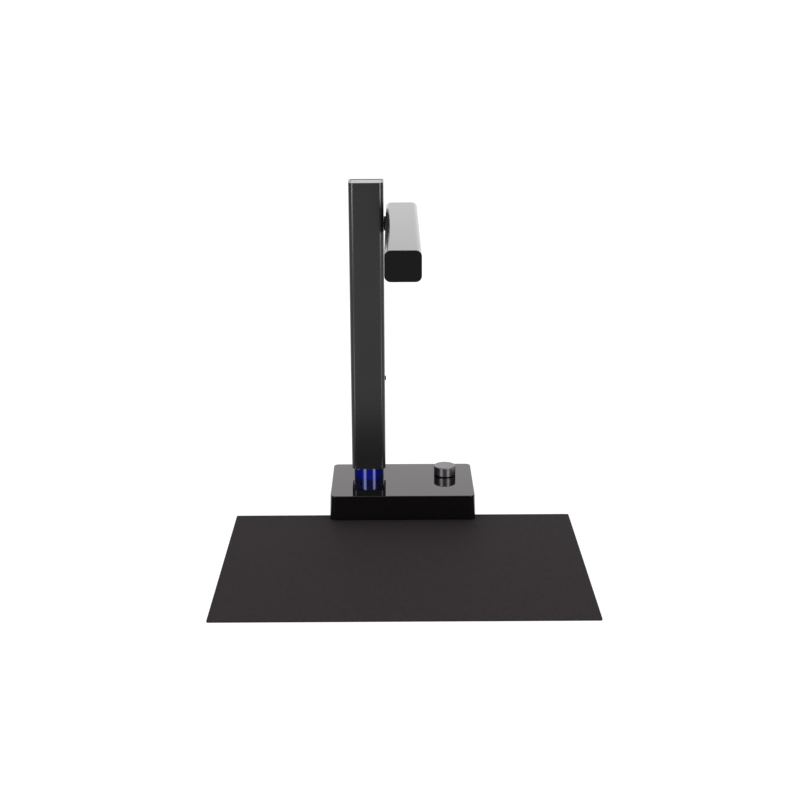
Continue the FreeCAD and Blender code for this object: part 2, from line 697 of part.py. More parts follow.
# ---------------------------------------------------------------- knob

BUSHING_TOP = "(base_top + bushing_high)"
ENCODER_TOP = f"({BOARD_TOP} + encoder_high)"
PLUNGER_LOW = f"({BOARD_TOP} + plunger_low)"
SHAFT_LOW = f"({PLUNGER_LOW} + plunger_high + shaft_lift)"
SHAFT_TOP = "(knob_top - shaft_cover)"
HUB_LOW = f"({BUSHING_TOP} + push_travel + push_spare)"
FLAT_LOW = f"({HUB_LOW} - push_spare / 3)"


def on_knob(height):
    return {"x": "knob_x", "y": "post_y", "z": height}


def shaft_section(name, length, height):
    """A length of the knob's shaft, with a flat on its right side."""
    whole = rod(f"{name}_round", "knob_shaft", length, **on_knob(height))
    side = box(f"{name}_side", "2 * knob_shaft", "3 * knob_shaft", length,
               "knob_x + knob_flat + knob_shaft", "post_y", height)
    return cut(name, whole, side)


def make_encoder():
    case = box("encoder_case", "encoder_side", "encoder_side", "encoder_high", **on_knob(BOARD_TOP))
    collar = rod("encoder_collar", "collar_radius", f"{CEILING} - {ENCODER_TOP}", **on_knob(ENCODER_TOP))
    bushing = rod("encoder_bushing", "bushing_radius", f"{BUSHING_TOP} - {ENCODER_TOP}",
                  **on_knob(ENCODER_TOP))
    chamber_low = f"{BOARD_TOP} + encoder_floor"
    chamber = rod("encoder_chamber", "chamber_radius", "chamber_high", **on_knob(chamber_low))
    bore = rod("encoder_bore", "knob_shaft + bush_clearance", "through", **on_knob(PLUNGER_LOW))
    node(cut("encoder_body", fuse("encoder_blank", case, collar, bushing), bore, chamber))
    node(rod("encoder_plunger", "plunger_radius", "plunger_high", **on_knob(PLUNGER_LOW)))
    nut = hexagon("nut_blank", "nut_reach", "nut_high", **on_knob("base_top"))
    nut_bore = rod("nut_bore", "bushing_radius", "through", **on_knob("base_top - past"))
    node(cut("encoder_nut", nut, nut_bore))
    lower = rod("shaft_lower", "knob_shaft", f"{FLAT_LOW} - {SHAFT_LOW}", **on_knob(SHAFT_LOW))
    upper = shaft_section("shaft_upper", f"{SHAFT_TOP} - {FLAT_LOW}", FLAT_LOW)
    node(fuse("encoder_shaft", lower, upper))


def make_knob_cap():
    outline = [
        ("0", f"{HUB_LOW} - knob_low"),
        ("knob_hub", f"{HUB_LOW} - knob_low"),
        ("knob_hub", "knob_top - knob_low - knob_roof"),
        ("knob_radius - knob_wall", "knob_top - knob_low - knob_roof"),
        ("knob_radius - knob_wall", "0"),
        ("knob_radius - knob_rim", "0"),
        ("knob_radius", "knob_rim"),
        ("knob_radius", "knob_top - knob_low - knob_bevel"),
        ("knob_radius - knob_bevel", "knob_top - knob_low"),
        ("0", "knob_top - knob_low"),
    ]
    blank = turned("knob_blank", outline, **on_knob("knob_low"))
    socket = shaft_section("knob_socket", f"{SHAFT_TOP} - knob_low", "knob_low")
    node(cut("knob_cap", blank, socket))


# ---------------------------------------------------------------- post foot and ring

POST_RIGHT = "(post_x + post_wide / 2)"
POST_BACK = "(post_y + post_deep / 2)"
INSIDE = f"({POST_RIGHT} - post_wall)"
BLOCK_START = "(post_wall + bush_flange_thick)"
BLOCK_X = f"({POST_RIGHT} - {BLOCK_START} - block_thick / 2)"
PLUG_SCREWS = [(f"post_x {side} plug_screw_x", "post_low + plug_screw_up") for side in "-+"]
BLOCK_SCREWS = [(BLOCK_X, f"hinge_z {side} block_screw_offset") for side in "-+"]
SCREW_TIP = f"({POST_BACK} - post_screw_deep - bush_clearance)"


def post_section(name, inset, front_radius, back_radius, length, low):
    """A length of the post's outline, moved inwards."""
    body = new_body(name, "post_x", "post_y", low)
    sketch = add_sketch(body, f"{name}_section")
    add_rectangle(sketch, f"post_wide - 2 * ({inset})", f"post_deep - 2 * ({inset})")
    front = add_fillet(body, add_pad(body, sketch, length), front_upright, front_radius)
    add_fillet(body, front, back_upright, back_radius)
    return body


def make_post_spigot():
    """A cast foot: legs on the ballast, a flange under the lid, a neck, and a plug in the post."""
    flange = bar("spigot_flange", "flange_wide", "flange_wide", "flange_thick", "flange_round",
                 "post_x", "post_y", f"{CEILING} - flange_thick")
    neck = rod("spigot_neck", "neck_radius", f"post_low - {CEILING} + 2 * past",
               "post_x", "post_y", f"{CEILING} - past")
    plug = post_section("spigot_plug", "post_wall + plug_play", "post_round - post_wall", "post_edge",
                        "plug_high", "post_low")
    legs = []
    openings = [rod("spigot_bore", "wire_bore", "post_low + plug_high + past", "post_x", "post_y")]
    for number, (x, y) in enumerate(LEGS):
        legs.append(rod(f"spigot_leg_{number}", "leg_radius", f"{CEILING} - {BALLAST_TOP} - past",
                        x, y, BALLAST_TOP))
        openings.append(rod(f"leg_hole_{number}", "leg_hole", "leg_hole_deep", x, y, BALLAST_TOP))
    for number, (x, z) in enumerate(PLUG_SCREWS):
        openings.append(rod(f"plug_hole_{number}", "post_screw_radius", "through", x, SCREW_TIP, z, "Y"))
    node(cut("post_spigot", fuse("spigot_blank", flange, neck, plug, *legs), *openings))


def make_spigot_bolts():
    bolts = []
    for number, (x, y) in enumerate(LEGS):
        seat = f"{COVER_TOP} + bolt_sink_deep"
        head = rod(f"bolt_head_{number}", "bolt_head", "bolt_head_high", x, y, f"{seat} - bolt_head_high")
        shank = rod(f"bolt_shank_{number}", "bolt_radius", "bolt_long", x, y, seat)
        bolts.append(fuse(f"spigot_bolt_{number}", head, shank))
    node(group("spigot_bolts", bolts))


def make_light_ring():
    node(ring("light_ring", "ring_radius", "ring_bore", "post_low - base_top + ring_sunk",
              "post_x", "post_y", "base_top - ring_sunk"))
    node(ring("ring_led_strip", "neck_radius + strip_gap + strip_thick", "neck_radius + strip_gap",
              "post_low - base_top - 2 * strip_margin", "post_x", "post_y", "base_top + strip_margin"))


# ---------------------------------------------------------------- post


def countersink(name, x, z, radius):
    """A cone that opens towards the back face of the post."""
    cone = doc.addObject("Part::Cone", name)
    bind(cone, Radius1=f"{radius} - post_screw_head_high", Radius2=radius, Height="post_screw_head_high")
    return place(cone, x, f"{POST_BACK} - post_screw_head_high", z, "Y")


def make_post_tube():
    outer = post_section("post_outside", "0", "post_round", "post_edge",
                         "post_top - post_low", "post_low")
    inner = post_section("post_inside", "post_wall", "post_round - post_wall", "post_edge",
                         "post_top - post_low + 2 * past", "post_low - past")
    in_wall = f"{INSIDE} - past"
    openings = [
        inner,
        rod("bush_opening", "bush_radius", "through", in_wall, "post_y", "hinge_z", "X"),
        rod("bumper_opening", "bumper_hole", "through", in_wall, "post_y", "bumper_z", "X"),
    ]
    for number, (x, z) in enumerate(PLUG_SCREWS + BLOCK_SCREWS):
        start = f"{POST_BACK} - post_wall - past"
        openings.append(rod(f"post_hole_{number}", "post_screw_hole", "through", x, start, z, "Y"))
        openings.append(countersink(f"post_sink_{number}", x, z, "post_sink"))
    node(cut("post_tube", outer, *openings))


def make_post_screws():
    screws = []
    for number, (x, z) in enumerate(PLUG_SCREWS + BLOCK_SCREWS):
        shank_long = "post_screw_deep - post_screw_head_high / 2"
        shank = rod(f"post_screw_shank_{number}", "post_screw_radius", shank_long,
                    x, f"{POST_BACK} - post_screw_deep", z, "Y")
        head = countersink(f"post_screw_cone_{number}", x, z, "post_screw_head")
        upright = box(f"post_screw_slot_{number}", "slot_thin", "2 * slot_thin", "slot_long",
                      x, POST_BACK, f"{z} - slot_long / 2")
        across = box(f"post_screw_cross_{number}", "slot_long", "2 * slot_thin", "slot_thin",
                     x, POST_BACK, f"{z} - slot_thin / 2")
        blank = fuse(f"post_screw_blank_{number}", shank, head)
        screws.append(cut(f"post_screw_{number}", blank, upright, across))
    node(group("post_screws", screws))


def make_post_top_cap():
    low = "post_top - post_cap_sunk - post_cap_high"
    plate = post_section("cap_plate", "post_wall + post_cap_play", "post_round - post_wall", "post_edge",
                         "post_cap_high", low)
    hollow = post_section("cap_hollow", "post_wall + post_cap_play + post_cap_skirt", "post_edge",
                          "post_edge", "post_cap_high - post_cap_roof", low)
    node(cut("post_top_cap", plate, hollow))


def make_side_bumper():
    """A domed rubber button whose barb holds it in the post's wall."""
    behind = "-post_wall - barb_play"
    outline = [
        ("0", "-post_wall - barb_long"),
        ("barb_neck", "-post_wall - barb_long"),
        ("barb_radius", behind),
        ("barb_neck", behind),
        ("barb_neck", "0"),
        ("bumper_radius", "0"),
        ("bumper_radius", "bumper_proud / 2"),
        ("bumper_radius - bumper_proud / 2", "bumper_proud"),
        ("0", "bumper_proud"),
    ]
    node(turned("side_bumper", outline, POST_RIGHT, "post_y", "bumper_z", "X"))


# ---------------------------------------------------------------- hinge
# Stations along the hinge axis run from the post's right face into the post.

BLOCK_END = f"({BLOCK_START} + block_thick)"
STOP_START = f"({BLOCK_END} + friction_thick + stop_gap)"
STOP_END = f"({STOP_START} + stop_thick)"
SPRING_END = f"({STOP_END} + spring_pair)"
SHAFT_END = f"({SPRING_END} + lock_nut_high + shaft_spare)"
ARM_LEFT = "(arm_x - arm_wide / 2)"
ARM_FACE = f"({POST_RIGHT} - {ARM_LEFT})"
ARM_INSIDE = f"({ARM_FACE} - arm_wall)"
DISC_END = f"({ARM_INSIDE} - disc_thick)"
DISC_SCREWS = [
    (f"post_y + screw_orbit * cos({turn})", f"hinge_z + screw_orbit * sin({turn})")
    for turn in (90, 210, 330)
]


def at_station(station, y="post_y", z="hinge_z", lay="-X"):
    """Where a piece laid from a station of the hinge axis goes."""
    return {"x": f"{POST_RIGHT} - ({station})", "y": y, "z": z, "lay": lay}


def make_hinge_bush():
    running = "shaft_radius + bush_clearance"
    flange_end = "post_wall + bush_flange_thick"
    outline = [
        (running, "0"),
        ("bush_radius", "0"),
        ("bush_radius", "post_wall"),
        ("bush_flange", "post_wall"),
        ("bush_flange", flange_end),
        ("bush_radius", flange_end),
        ("bush_radius", "bush_end"),
        (running, "bush_end"),
    ]
    node(turned("hinge_bush", outline, **at_station("0")))


def make_hinge_housing():
    block = box("hinge_block", "block_thick", "post_deep - 2 * post_wall - block_play", "block_high",
                BLOCK_X, "post_y", "hinge_z - block_high / 2")
    openings = [
        rod("housing_seat", "bush_radius", "bush_end", **at_station("0")),
        rod("housing_bore", "block_bore", "through", **at_station("0")),
        rod("housing_pin_hole", "stop_radius", "stop_pin_long + past",
            **at_station(STOP_END, z="hinge_z + stop_orbit", lay="X")),
    ]
    for number, (x, z) in enumerate(BLOCK_SCREWS):
        openings.append(rod(f"housing_screw_hole_{number}", "post_screw_radius", "through",
                            x, SCREW_TIP, z, "Y"))
    node(cut("hinge_housing", block, *openings))
    washer = at_station(BLOCK_END)
    node(ring("friction_washer", "friction_radius", "friction_bore", "friction_thick", **washer))
    node(rod("stop_pin", "stop_radius", "stop_pin_long",
             **at_station(STOP_END, z="hinge_z + stop_orbit", lay="X")))


def make_hinge_shaft():
    """A hollow shaft with a flat-bottomed disc that is screwed to the arm's left wall."""
    reach = f"{SHAFT_END} - {DISC_END}"
    outline = [
        ("shaft_bore", "0"),
        ("boss_radius", "0"),
        ("boss_radius", "disc_thick"),
        ("shaft_radius", "disc_thick"),
        ("shaft_radius", reach),
        ("shaft_bore", reach),
    ]
    blank = turned("shaft_blank", outline, **at_station(DISC_END))
    flat = box("disc_flat", "through", "through", "boss_radius", f"{POST_RIGHT} - {ARM_INSIDE}", "post_y",
               "arm_low + arm_wall + arm_round_inside + disc_flat_gap - boss_radius")
    holes = []
    for number, (y, z) in enumerate(DISC_SCREWS):
        spot = at_station(f"{DISC_END} - past", y, z)
        holes.append(rod(f"disc_hole_{number}", "disc_hole", "disc_thick + 2 * past", **spot))
    node(cut("hinge_shaft", blank, flat, *holes))


def make_pivot_boss():
    long = f"-boss_gap - {ARM_FACE}"
    blank = ring("boss_blank", "boss_radius", "shaft_radius", long, **at_station(ARM_FACE))
    holes = []
    for number, (y, z) in enumerate(DISC_SCREWS):
        spot = at_station(f"{ARM_FACE} - past", y, z)
        holes.append(rod(f"boss_hole_{number}", "disc_screw", "boss_hole_deep + past", **spot))
    node(cut("pivot_boss", blank, *holes))


def make_disc_screws():
    screws = []
    for number, (y, z) in enumerate(DISC_SCREWS):
        head = rod(f"disc_screw_head_{number}", "disc_screw_head", "disc_screw_head_high",
                   **at_station(f"{DISC_END} - disc_screw_head_high", y, z))
        shank = rod(f"disc_screw_shank_{number}", "disc_screw", "disc_screw_long",
                    **at_station(DISC_END, y, z))
        screws.append(fuse(f"flange_screw_{number}", head, shank))
    node(group("flange_screws", screws))


def make_stop_washer():
    """A washer with a rim that leaves a notch for the stop pin, as wide as the arm's fold."""
    pin_half = math.degrees(math.asin(DIM["stop_radius"] / DIM["stop_orbit"]))
    notch_end = 90 + pin_half + DIM["stop_margin"]
    notch = DIM["fold_angle"] + 2 * (pin_half + DIM["stop_margin"])
    disc = rod("stop_disc", "stop_hub", "stop_thick", **at_station(STOP_END, lay="X"))
    rim = rod("stop_rim", "stop_rim", "stop_thick", **at_station(STOP_END, lay="X"))
    rim.Angle = 360 - notch
    rim.Placement.Rotation = Rotation(Vector(1, 0, 0), notch_end) * LAY["X"]
    bore = rod("stop_bore", "shaft_radius", "through", **at_station(f"{STOP_START} - past"))
    node(cut("stop_washer", fuse("stop_blank", disc, rim), bore))


def make_springs_and_nut():
    """Two cone washers, back to back, squeezed by a nut."""
    outline = [
        ("spring_bore", "spring_cone"),
        ("spring_radius", "0"),
        ("spring_radius", "spring_thick"),
        ("spring_bore", "spring_cone + spring_thick"),
    ]
    first = turned("spring_washer_first", outline, **at_station(STOP_END))
    second = turned("spring_washer_second", outline, **at_station(SPRING_END, lay="X"))
    node(group("spring_washers", [first, second]))
    blank = hexagon("lock_nut_blank", "lock_nut_reach", "lock_nut_high", **at_station(SPRING_END))
    bore = rod("lock_nut_bore", "shaft_radius", "through", **at_station(f"{SPRING_END} - past"))
    node(cut("lock_nut", blank, bore))


# ---------------------------------------------------------------- arm

ARM_MID = "(arm_low + arm_high / 2)"
ARM_MIDDLE_Y = "((arm_front + arm_back) / 2)"
ARM_LONG = "(arm_back - arm_front - 2 * arm_cap)"
SHELL_FRONT = "(arm_front + arm_cap)"
LEDGE_LOW = "(arm_low + arm_wall + ledge_gap)"
LEDGE_TOP = f"({LEDGE_LOW} + ledge_thick)"
FLANGE_LOW = "(arm_low + holder_top - holder_flange_thick)"
CAMERA_SCREWS = corners("arm_x", "lens_y", "camera_pitch", "camera_pitch")
LAMPS = [("front", "(lens_y - lamp_pitch)"), ("rear", "(lens_y + lamp_pitch)")]


def make_arm_shell():
    outer = bar("arm_outside", "arm_wide", "arm_high", ARM_LONG, "arm_round",
                "arm_x", SHELL_FRONT, ARM_MID, "Y")
    inner = bar("arm_inside", "arm_wide - 2 * arm_wall", "arm_high - 2 * arm_wall",
                f"{ARM_LONG} + 2 * past", "arm_round_inside",
                "arm_x", f"{SHELL_FRONT} - past", ARM_MID, "Y")
    slot = box("arm_slot", "slot_wide", f"{ARM_LONG} + 2 * past", "arm_wall + 2 * past",
               "arm_x", ARM_MIDDLE_Y, "arm_low - past")
    in_wall = f"{ARM_INSIDE} - past"
    openings = [inner, slot]
    openings.append(rod("arm_shaft_hole", "shaft_radius + arm_hole_play", "through", **at_station(in_wall)))
    for number, (y, z) in enumerate(DISC_SCREWS):
        spot = at_station(in_wall, y, z)
        openings.append(rod(f"arm_screw_hole_{number}", "arm_screw_hole", "through", **spot))
    node(cut("arm_shell", outer, *openings))


def make_end_cap(name, face_y, lay_y):
    """A plate with a rounded outer edge and a plug that fits in the arm."""
    body = new_body(name, "arm_x", face_y, ARM_MID)
    body.Placement.Rotation = Rotation(Vector(1, 0, 0), lay_y)
    face = add_sketch(body, f"{name}_face")
    add_rectangle(face, "arm_wide", "arm_high")
    rounded = add_fillet(body, add_pad(body, face, "arm_cap"), goes_up, "arm_round")
    add_fillet(body, rounded, lies_at(0), "arm_cap_edge")
    plug = add_sketch(body, f"{name}_plug", height="arm_cap")
    add_rectangle(plug, "arm_wide - 2 * (arm_wall + arm_plug_side)",
                  "arm_high - 2 * (arm_wall + arm_plug_above)")
    add_pad(body, plug, "arm_plug")
    node(body)


def make_arm_bottom_cover():
    skin = box("cover_skin", "slot_wide - 2 * skin_play", f"{ARM_LONG} - 2 * skin_play",
               f"{LEDGE_LOW} - arm_low + ledge_thick / 2", "arm_x", ARM_MIDDLE_Y, "arm_low")
    ledge = box("cover_ledge", "ledge_wide", f"{ARM_LONG} - 2 * ledge_short", "ledge_thick",
                "arm_x", ARM_MIDDLE_Y, LEDGE_LOW)
    to_ledge = f"{LEDGE_LOW} - arm_low + past"
    through_ledge = f"{LEDGE_TOP} - arm_low + 2 * past"
    openings = [
        rod("window_opening", "window_radius", to_ledge, "arm_x", "lens_y", "arm_low - past"),
        rod("lens_opening", "window_radius - window_ledge", through_ledge, "arm_x", "lens_y",
            "arm_low - past"),
    ]
    for side, y in LAMPS:
        openings.append(box(f"lamp_opening_{side}", "lamp_wide", "lamp_long", to_ledge,
                            "arm_x", y, "arm_low - past"))
        openings.append(box(f"lamp_throat_{side}", "lamp_wide - 2 * lamp_ledge",
                            "lamp_long - 2 * lamp_ledge", through_ledge, "arm_x", y, "arm_low - past"))
    posts = []
    for number, (x, y) in enumerate(CAMERA_SCREWS):
        posts.append(rod(f"camera_post_{number}", "camera_post", f"{FLANGE_LOW} - {LEDGE_LOW}",
                         x, y, LEDGE_LOW))
        openings.append(rod(f"camera_post_hole_{number}", "camera_screw", "camera_thread_deep",
                            x, y, f"{FLANGE_LOW} + past - camera_thread_deep"))
    node(cut("arm_bottom_cover", fuse("cover_blank", skin, ledge, *posts), *openings))


# ---------------------------------------------------------------- camera


def at_lens(height):
    """On the lens axis, at a height above the arm's underside."""
    return {"x": "arm_x", "y": "lens_y", "z": f"arm_low + {height}"}


def make_lens():
    node(rod("lens_window", "window_radius - glass_play", "window_thick", **at_lens("window_low")))
    outline = [
        ("barrel_front_bore", "0"),
        ("barrel_lip", "0"),
        ("barrel_lip", "barrel_lip_long"),
        ("barrel_radius", "barrel_lip_long"),
        ("barrel_radius", "barrel_long"),
        ("barrel_rear_bore", "barrel_long"),
        ("barrel_rear_bore", "barrel_step"),
        ("barrel_front_bore", "barrel_step"),
    ]
    node(turned("lens_barrel", outline, **at_lens("barrel_low")))
    dome = doc.addObject("Part::Sphere", "front_glass_dome")
    bind(dome, Radius="front_glass_curve")
    place(dome, **at_lens("front_glass_low + front_glass_curve"))
    edge = rod("front_glass_edge", "barrel_front_bore - glass_play", "front_glass_high",
               **at_lens("front_glass_low"))
    node(common("lens_front_glass", dome, edge))
    node(rod("lens_rear_glass", "barrel_rear_bore - glass_play", "rear_glass_high",
             **at_lens("rear_glass_low")))


def make_lens_holder():
    block = box("holder_block", "holder_side", "holder_side", "holder_high", **at_lens("holder_low"))
    flange = box("holder_plate", "holder_flange", "holder_flange", "holder_flange_thick",
                 **at_lens("holder_top - holder_flange_thick"))
    openings = [
        rod("holder_bore", "barrel_radius", "holder_seat", **at_lens("holder_low")),
        rod("holder_light", "holder_stop", "holder_high + past", **at_lens("holder_low")),
        box("holder_chamber", "chamber_side", "chamber_side", "holder_flange_thick + past",
            **at_lens("holder_top - holder_flange_thick")),
    ]
    for number, (x, y) in enumerate(CAMERA_SCREWS):
        openings.append(rod(f"holder_hole_{number}", "camera_hole", "through", x, y, FLANGE_LOW))
    node(cut("lens_holder", fuse("holder_blank", block, flange), *openings))


def make_sensor():
    node(box("filter_glass", "filter_side", "filter_side", "filter_thick",
             **at_lens("holder_top - holder_flange_thick")))
    node(box("image_sensor", "sensor_side", "sensor_side", "sensor_thick",
             **at_lens("holder_top - sensor_thick")))
    board = box("sensor_board_blank", "holder_flange", "holder_flange", "sensor_board_thick",
                **at_lens("holder_top"))
    board_top = "holder_top + sensor_board_thick"
    holes = []
    screws = []
    for number, (x, y) in enumerate(CAMERA_SCREWS):
        holes.append(rod(f"sensor_hole_{number}", "camera_hole", "through", x, y, FLANGE_LOW))
        head = rod(f"sensor_screw_head_{number}", "camera_screw_head", "camera_screw_head_high",
                   x, y, f"arm_low + {board_top}")
        shank = rod(f"sensor_screw_shank_{number}", "camera_screw", "camera_screw_long",
                    x, y, f"arm_low + {board_top} - camera_screw_long")
        screws.append(fuse(f"sensor_screw_{number}", head, shank))
    node(cut("sensor_board", board, *holes))
    node(group("sensor_screws", screws))
    node(box("sensor_socket", "camera_socket_wide", "camera_socket_deep", "camera_socket_tall",
             "arm_x", "lens_y + camera_socket_y", f"arm_low + {board_top}"))


def make_lamps():
    chips = []
    for side, y in LAMPS:
        node(box(f"led_board_{side}", "lamp_board_wide", "lamp_board_long", "lamp_board_thick",
                 "arm_x", y, LEDGE_TOP))
        node(box(f"led_diffuser_{side}", "lamp_wide - 2 * diffuser_play", "lamp_long - 2 * diffuser_play",
                 "arm_wall - diffuser_low", "arm_x", y, "arm_low + diffuser_low"))
        for column in (-1, 1):
            for row in (-1, 0, 1):
                chips.append(box(f"led_chip_{len(chips)}", "led_wide", "led_long", "led_thick",
                                 f"arm_x + {column} * led_column", f"{y} + {row} * led_row",
                                 f"{LEDGE_TOP} - led_thick"))
    node(group("led_chips", chips))


# ---------------------------------------------------------------- cable harness


def harness(name, points, radii):
    """A round cable along straight runs joined by tangent arcs."""
    edges = []
    start = points[0]
    for before, corner, after, radius in zip(points, points[1:], points[2:], radii):
        back = (before - corner).normalize()
        ahead = (after - corner).normalize()
        half_turn = (math.pi - back.getAngle(ahead)) / 2
        reach = radius * math.tan(half_turn)
        first = corner + back * reach
        last = corner + ahead * reach
        inward = (back + ahead).normalize()
        centre = corner + inward * (radius / math.cos(half_turn))
        middle = centre - inward * radius
        edges.append(Part.LineSegment(start, first).toShape())
        edges.append(Part.Arc(first, middle, last).toShape())
        start = last
    edges.append(Part.LineSegment(start, points[-1]).toShape())
    path = Part.Wire(edges)
    circle = Part.Wire(Part.Circle(points[0], points[1] - points[0], DIM["wire_radius"]).toShape())
    shape = path.makePipeShell([circle], True, False)
    expected = math.pi * DIM["wire_radius"] ** 2 * path.Length
    if abs(shape.Volume - expected) > VOLUME_ERROR * expected:
        raise ValueError(f"{name} has the wrong volume")
    print(name, "length", round(path.Length, 1), "radii", radii)
    item = doc.addObject("Part::Feature", name)
    item.Shape = shape
    item.Placement = Placement()
    node(item)


def make_harnesses():
    """The cable from the main board up the post, and on through the hinge shaft to the camera."""
    hinge_y = DIM["post_y"]
    hinge_z = DIM["hinge_z"]
    post_x = DIM["post_x"]
    arm_x = DIM["arm_x"]
    meet_x = post_x + DIM["post_wide"] / 2 - DIM["wire_meet"]
    rise_x = post_x - DIM["wire_side"]
    socket_x = DIM["outlet_x"] - DIM["outlet_wide"] / 2
    floor_z = DIM["wire_floor"]
    post_points = [
        Vector(socket_x - SOCKET_GAP, DIM["outlet_y"], floor_z),
        Vector(post_x, hinge_y, floor_z),
        Vector(post_x + 0.5, hinge_y, 120),
        Vector(post_x - 4, hinge_y, 200),
        Vector(rise_x, hinge_y, 262),
        Vector(rise_x, hinge_y, hinge_z),
        Vector(meet_x, hinge_y, hinge_z),
    ]
    harness("post_harness", post_points, [7, 60, 60, 30, 4.4])
    run_z = DIM["arm_low"] + DIM["wire_run"]
    socket_y = DIM["lens_y"] + DIM["camera_socket_y"] + DIM["camera_socket_deep"] / 2
    arm_points = [
        Vector(meet_x, hinge_y, hinge_z),
        Vector(arm_x - 1, hinge_y, hinge_z),
        Vector(arm_x, 112, 306),
        Vector(arm_x, 84, run_z - 0.4),
        Vector(arm_x + 1.5, 30, run_z + 1),
        Vector(arm_x, socket_y + SOCKET_GAP, run_z),
    ]
    harness("arm_harness", arm_points, [9, 30, 40, 60])


# ---------------------------------------------------------------- mat


def make_document_mat():
    node(bar("document_mat", "mat_wide", "mat_back - mat_front", "mat_thick", "mat_round",
             "0", "(mat_front + mat_back) / 2"))


# ---------------------------------------------------------------- build and write


def check():
    doc.recompute()
    for item in doc.Objects:
        if "Invalid" in item.State or "Error" in item.State:
            raise ValueError(f"{item.Label} failed: {item.State}")
    for item in nodes:
        if item.Shape.isNull() or not item.Shape.isValid() or not item.Shape.Solids:
            raise ValueError(f"{item.Label} has no valid solid")


def write():
    os.makedirs("parts", exist_ok=True)
    for item in nodes:
        item.Shape.exportStep(f"parts/{item.Label}.step")
        print(f"{item.Label}: {len(item.Shape.Solids)} solid(s), {item.Shape.Volume / 1000:.2f} cm3")


make_sheet()
make_base_top_shell()
make_base_bottom_cover()
make_cover_screws()
make_rubber_feet()
make_ballast_plate()
make_main_board()
make_usb_socket()
make_encoder()
make_knob_cap()
make_post_spigot()
make_spigot_bolts()
make_light_ring()
make_post_tube()
make_post_screws()
make_post_top_cap()
make_side_bumper()
make_hinge_bush()
make_hinge_housing()
make_hinge_shaft()
make_pivot_boss()
make_disc_screws()
make_stop_washer()
make_springs_and_nut()
make_arm_shell()
make_end_cap("arm_front_cap", "arm_front", -90)
make_end_cap("arm_rear_cap", "arm_back", 90)
make_arm_bottom_cover()
make_lens()
make_lens_holder()
make_sensor()
make_lamps()
make_harnesses()
make_document_mat()
check()
write()
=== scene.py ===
"""Looks of the overhead book scanner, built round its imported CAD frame. Metres, +Z up."""
import json
import math

import bmesh
import bpy
from mathutils import Euler, Matrix, Vector

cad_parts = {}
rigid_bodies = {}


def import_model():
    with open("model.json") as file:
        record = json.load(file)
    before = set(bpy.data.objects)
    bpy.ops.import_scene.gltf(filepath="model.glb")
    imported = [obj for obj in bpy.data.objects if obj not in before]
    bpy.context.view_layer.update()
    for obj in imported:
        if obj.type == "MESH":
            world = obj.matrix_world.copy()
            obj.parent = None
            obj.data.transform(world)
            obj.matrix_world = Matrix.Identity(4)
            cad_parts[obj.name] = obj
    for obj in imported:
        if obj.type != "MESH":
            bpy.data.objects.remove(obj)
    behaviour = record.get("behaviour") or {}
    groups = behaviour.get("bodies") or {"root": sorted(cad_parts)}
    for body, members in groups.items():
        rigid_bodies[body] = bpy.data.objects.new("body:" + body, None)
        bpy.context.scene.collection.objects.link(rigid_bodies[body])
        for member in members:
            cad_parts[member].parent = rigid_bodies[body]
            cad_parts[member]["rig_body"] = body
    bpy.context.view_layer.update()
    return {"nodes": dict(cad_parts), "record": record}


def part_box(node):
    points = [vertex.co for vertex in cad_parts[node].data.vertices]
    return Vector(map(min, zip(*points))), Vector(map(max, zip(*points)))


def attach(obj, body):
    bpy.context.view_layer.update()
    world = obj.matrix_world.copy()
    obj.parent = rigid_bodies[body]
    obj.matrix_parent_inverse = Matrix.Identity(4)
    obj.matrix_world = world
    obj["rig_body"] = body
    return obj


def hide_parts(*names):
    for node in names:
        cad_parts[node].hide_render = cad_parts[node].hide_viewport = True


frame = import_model()

MM = 0.001
TURN = 2 * math.pi

# Where nearly all of a noise texture's output lies.
NOISE_RANGE = (0.3, 0.7)

# Meshes.
FINE_EDGE = 0.12 * MM
BROAD_EDGE = 0.25 * MM
BEVEL_ANGLE = math.radians(32)
SHARP_ANGLE = math.radians(40)
FLAT_ANGLE = math.radians(0.4)
WELD_DISTANCE = 0.001 * MM
LEAST_EDGE = 0.0005 * MM
LATHE_STEPS = 192
ON_AXIS = 0.0001 * MM

# The studio: places and sizes in metres, lights as emission strengths.
WORLD_LIGHT = 1.24
FLOOR_SIZE = 14
FLOOR_DROP = 0.02 * MM
FLOOR_TONE = (0.2, 0.2, 0.2, 1)
FLOOR_LIGHT = 0.86
CARD_BLACK = (0, 0, 0, 1)
UPRIGHT = math.radians(90)

# The strips stand in front of the base, at a turn about its middle in degrees, where right is positive.
STRIPS = {
    "strip_left": {"degrees": -34, "width": 0.3, "foot_light": 6.5},
    "strip_right": {"degrees": 39, "width": 0.28, "foot_light": 10.0},
}
STRIP_DISTANCE = 0.85
STRIP_HEIGHT = 0.9
STRIP_LIGHT = 20.0
STRIP_TOP_LIGHT = 2.5
STRIP_RISE = (0.24, 0.262)
STRIP_FALL = (0.38, 0.5)
FOOT_DISTANCE = 0.84
FOOT_HEIGHT = 0.225
FOOT_WIDENING = 1.6
FOOT_RISE = (0.1, 1.11)
POOL_DISTANCE = 0.6
POOL_LIFT = 0.5 * MM
POOL_SIZE = (0.18, 0.48)
POOL_LIGHT = 6.0
FRONT_OFFSET = Vector((0.03, -1.0, 0.58))
FRONT_SIZE = (0.85, 0.7)
FRONT_LIGHT = 0.45
FLAG_OFFSET = Vector((0.9, 0.5, 0.42))
FLAG_SIZE = (2.2, 0.44)
FLAG_LIGHT = 0.15

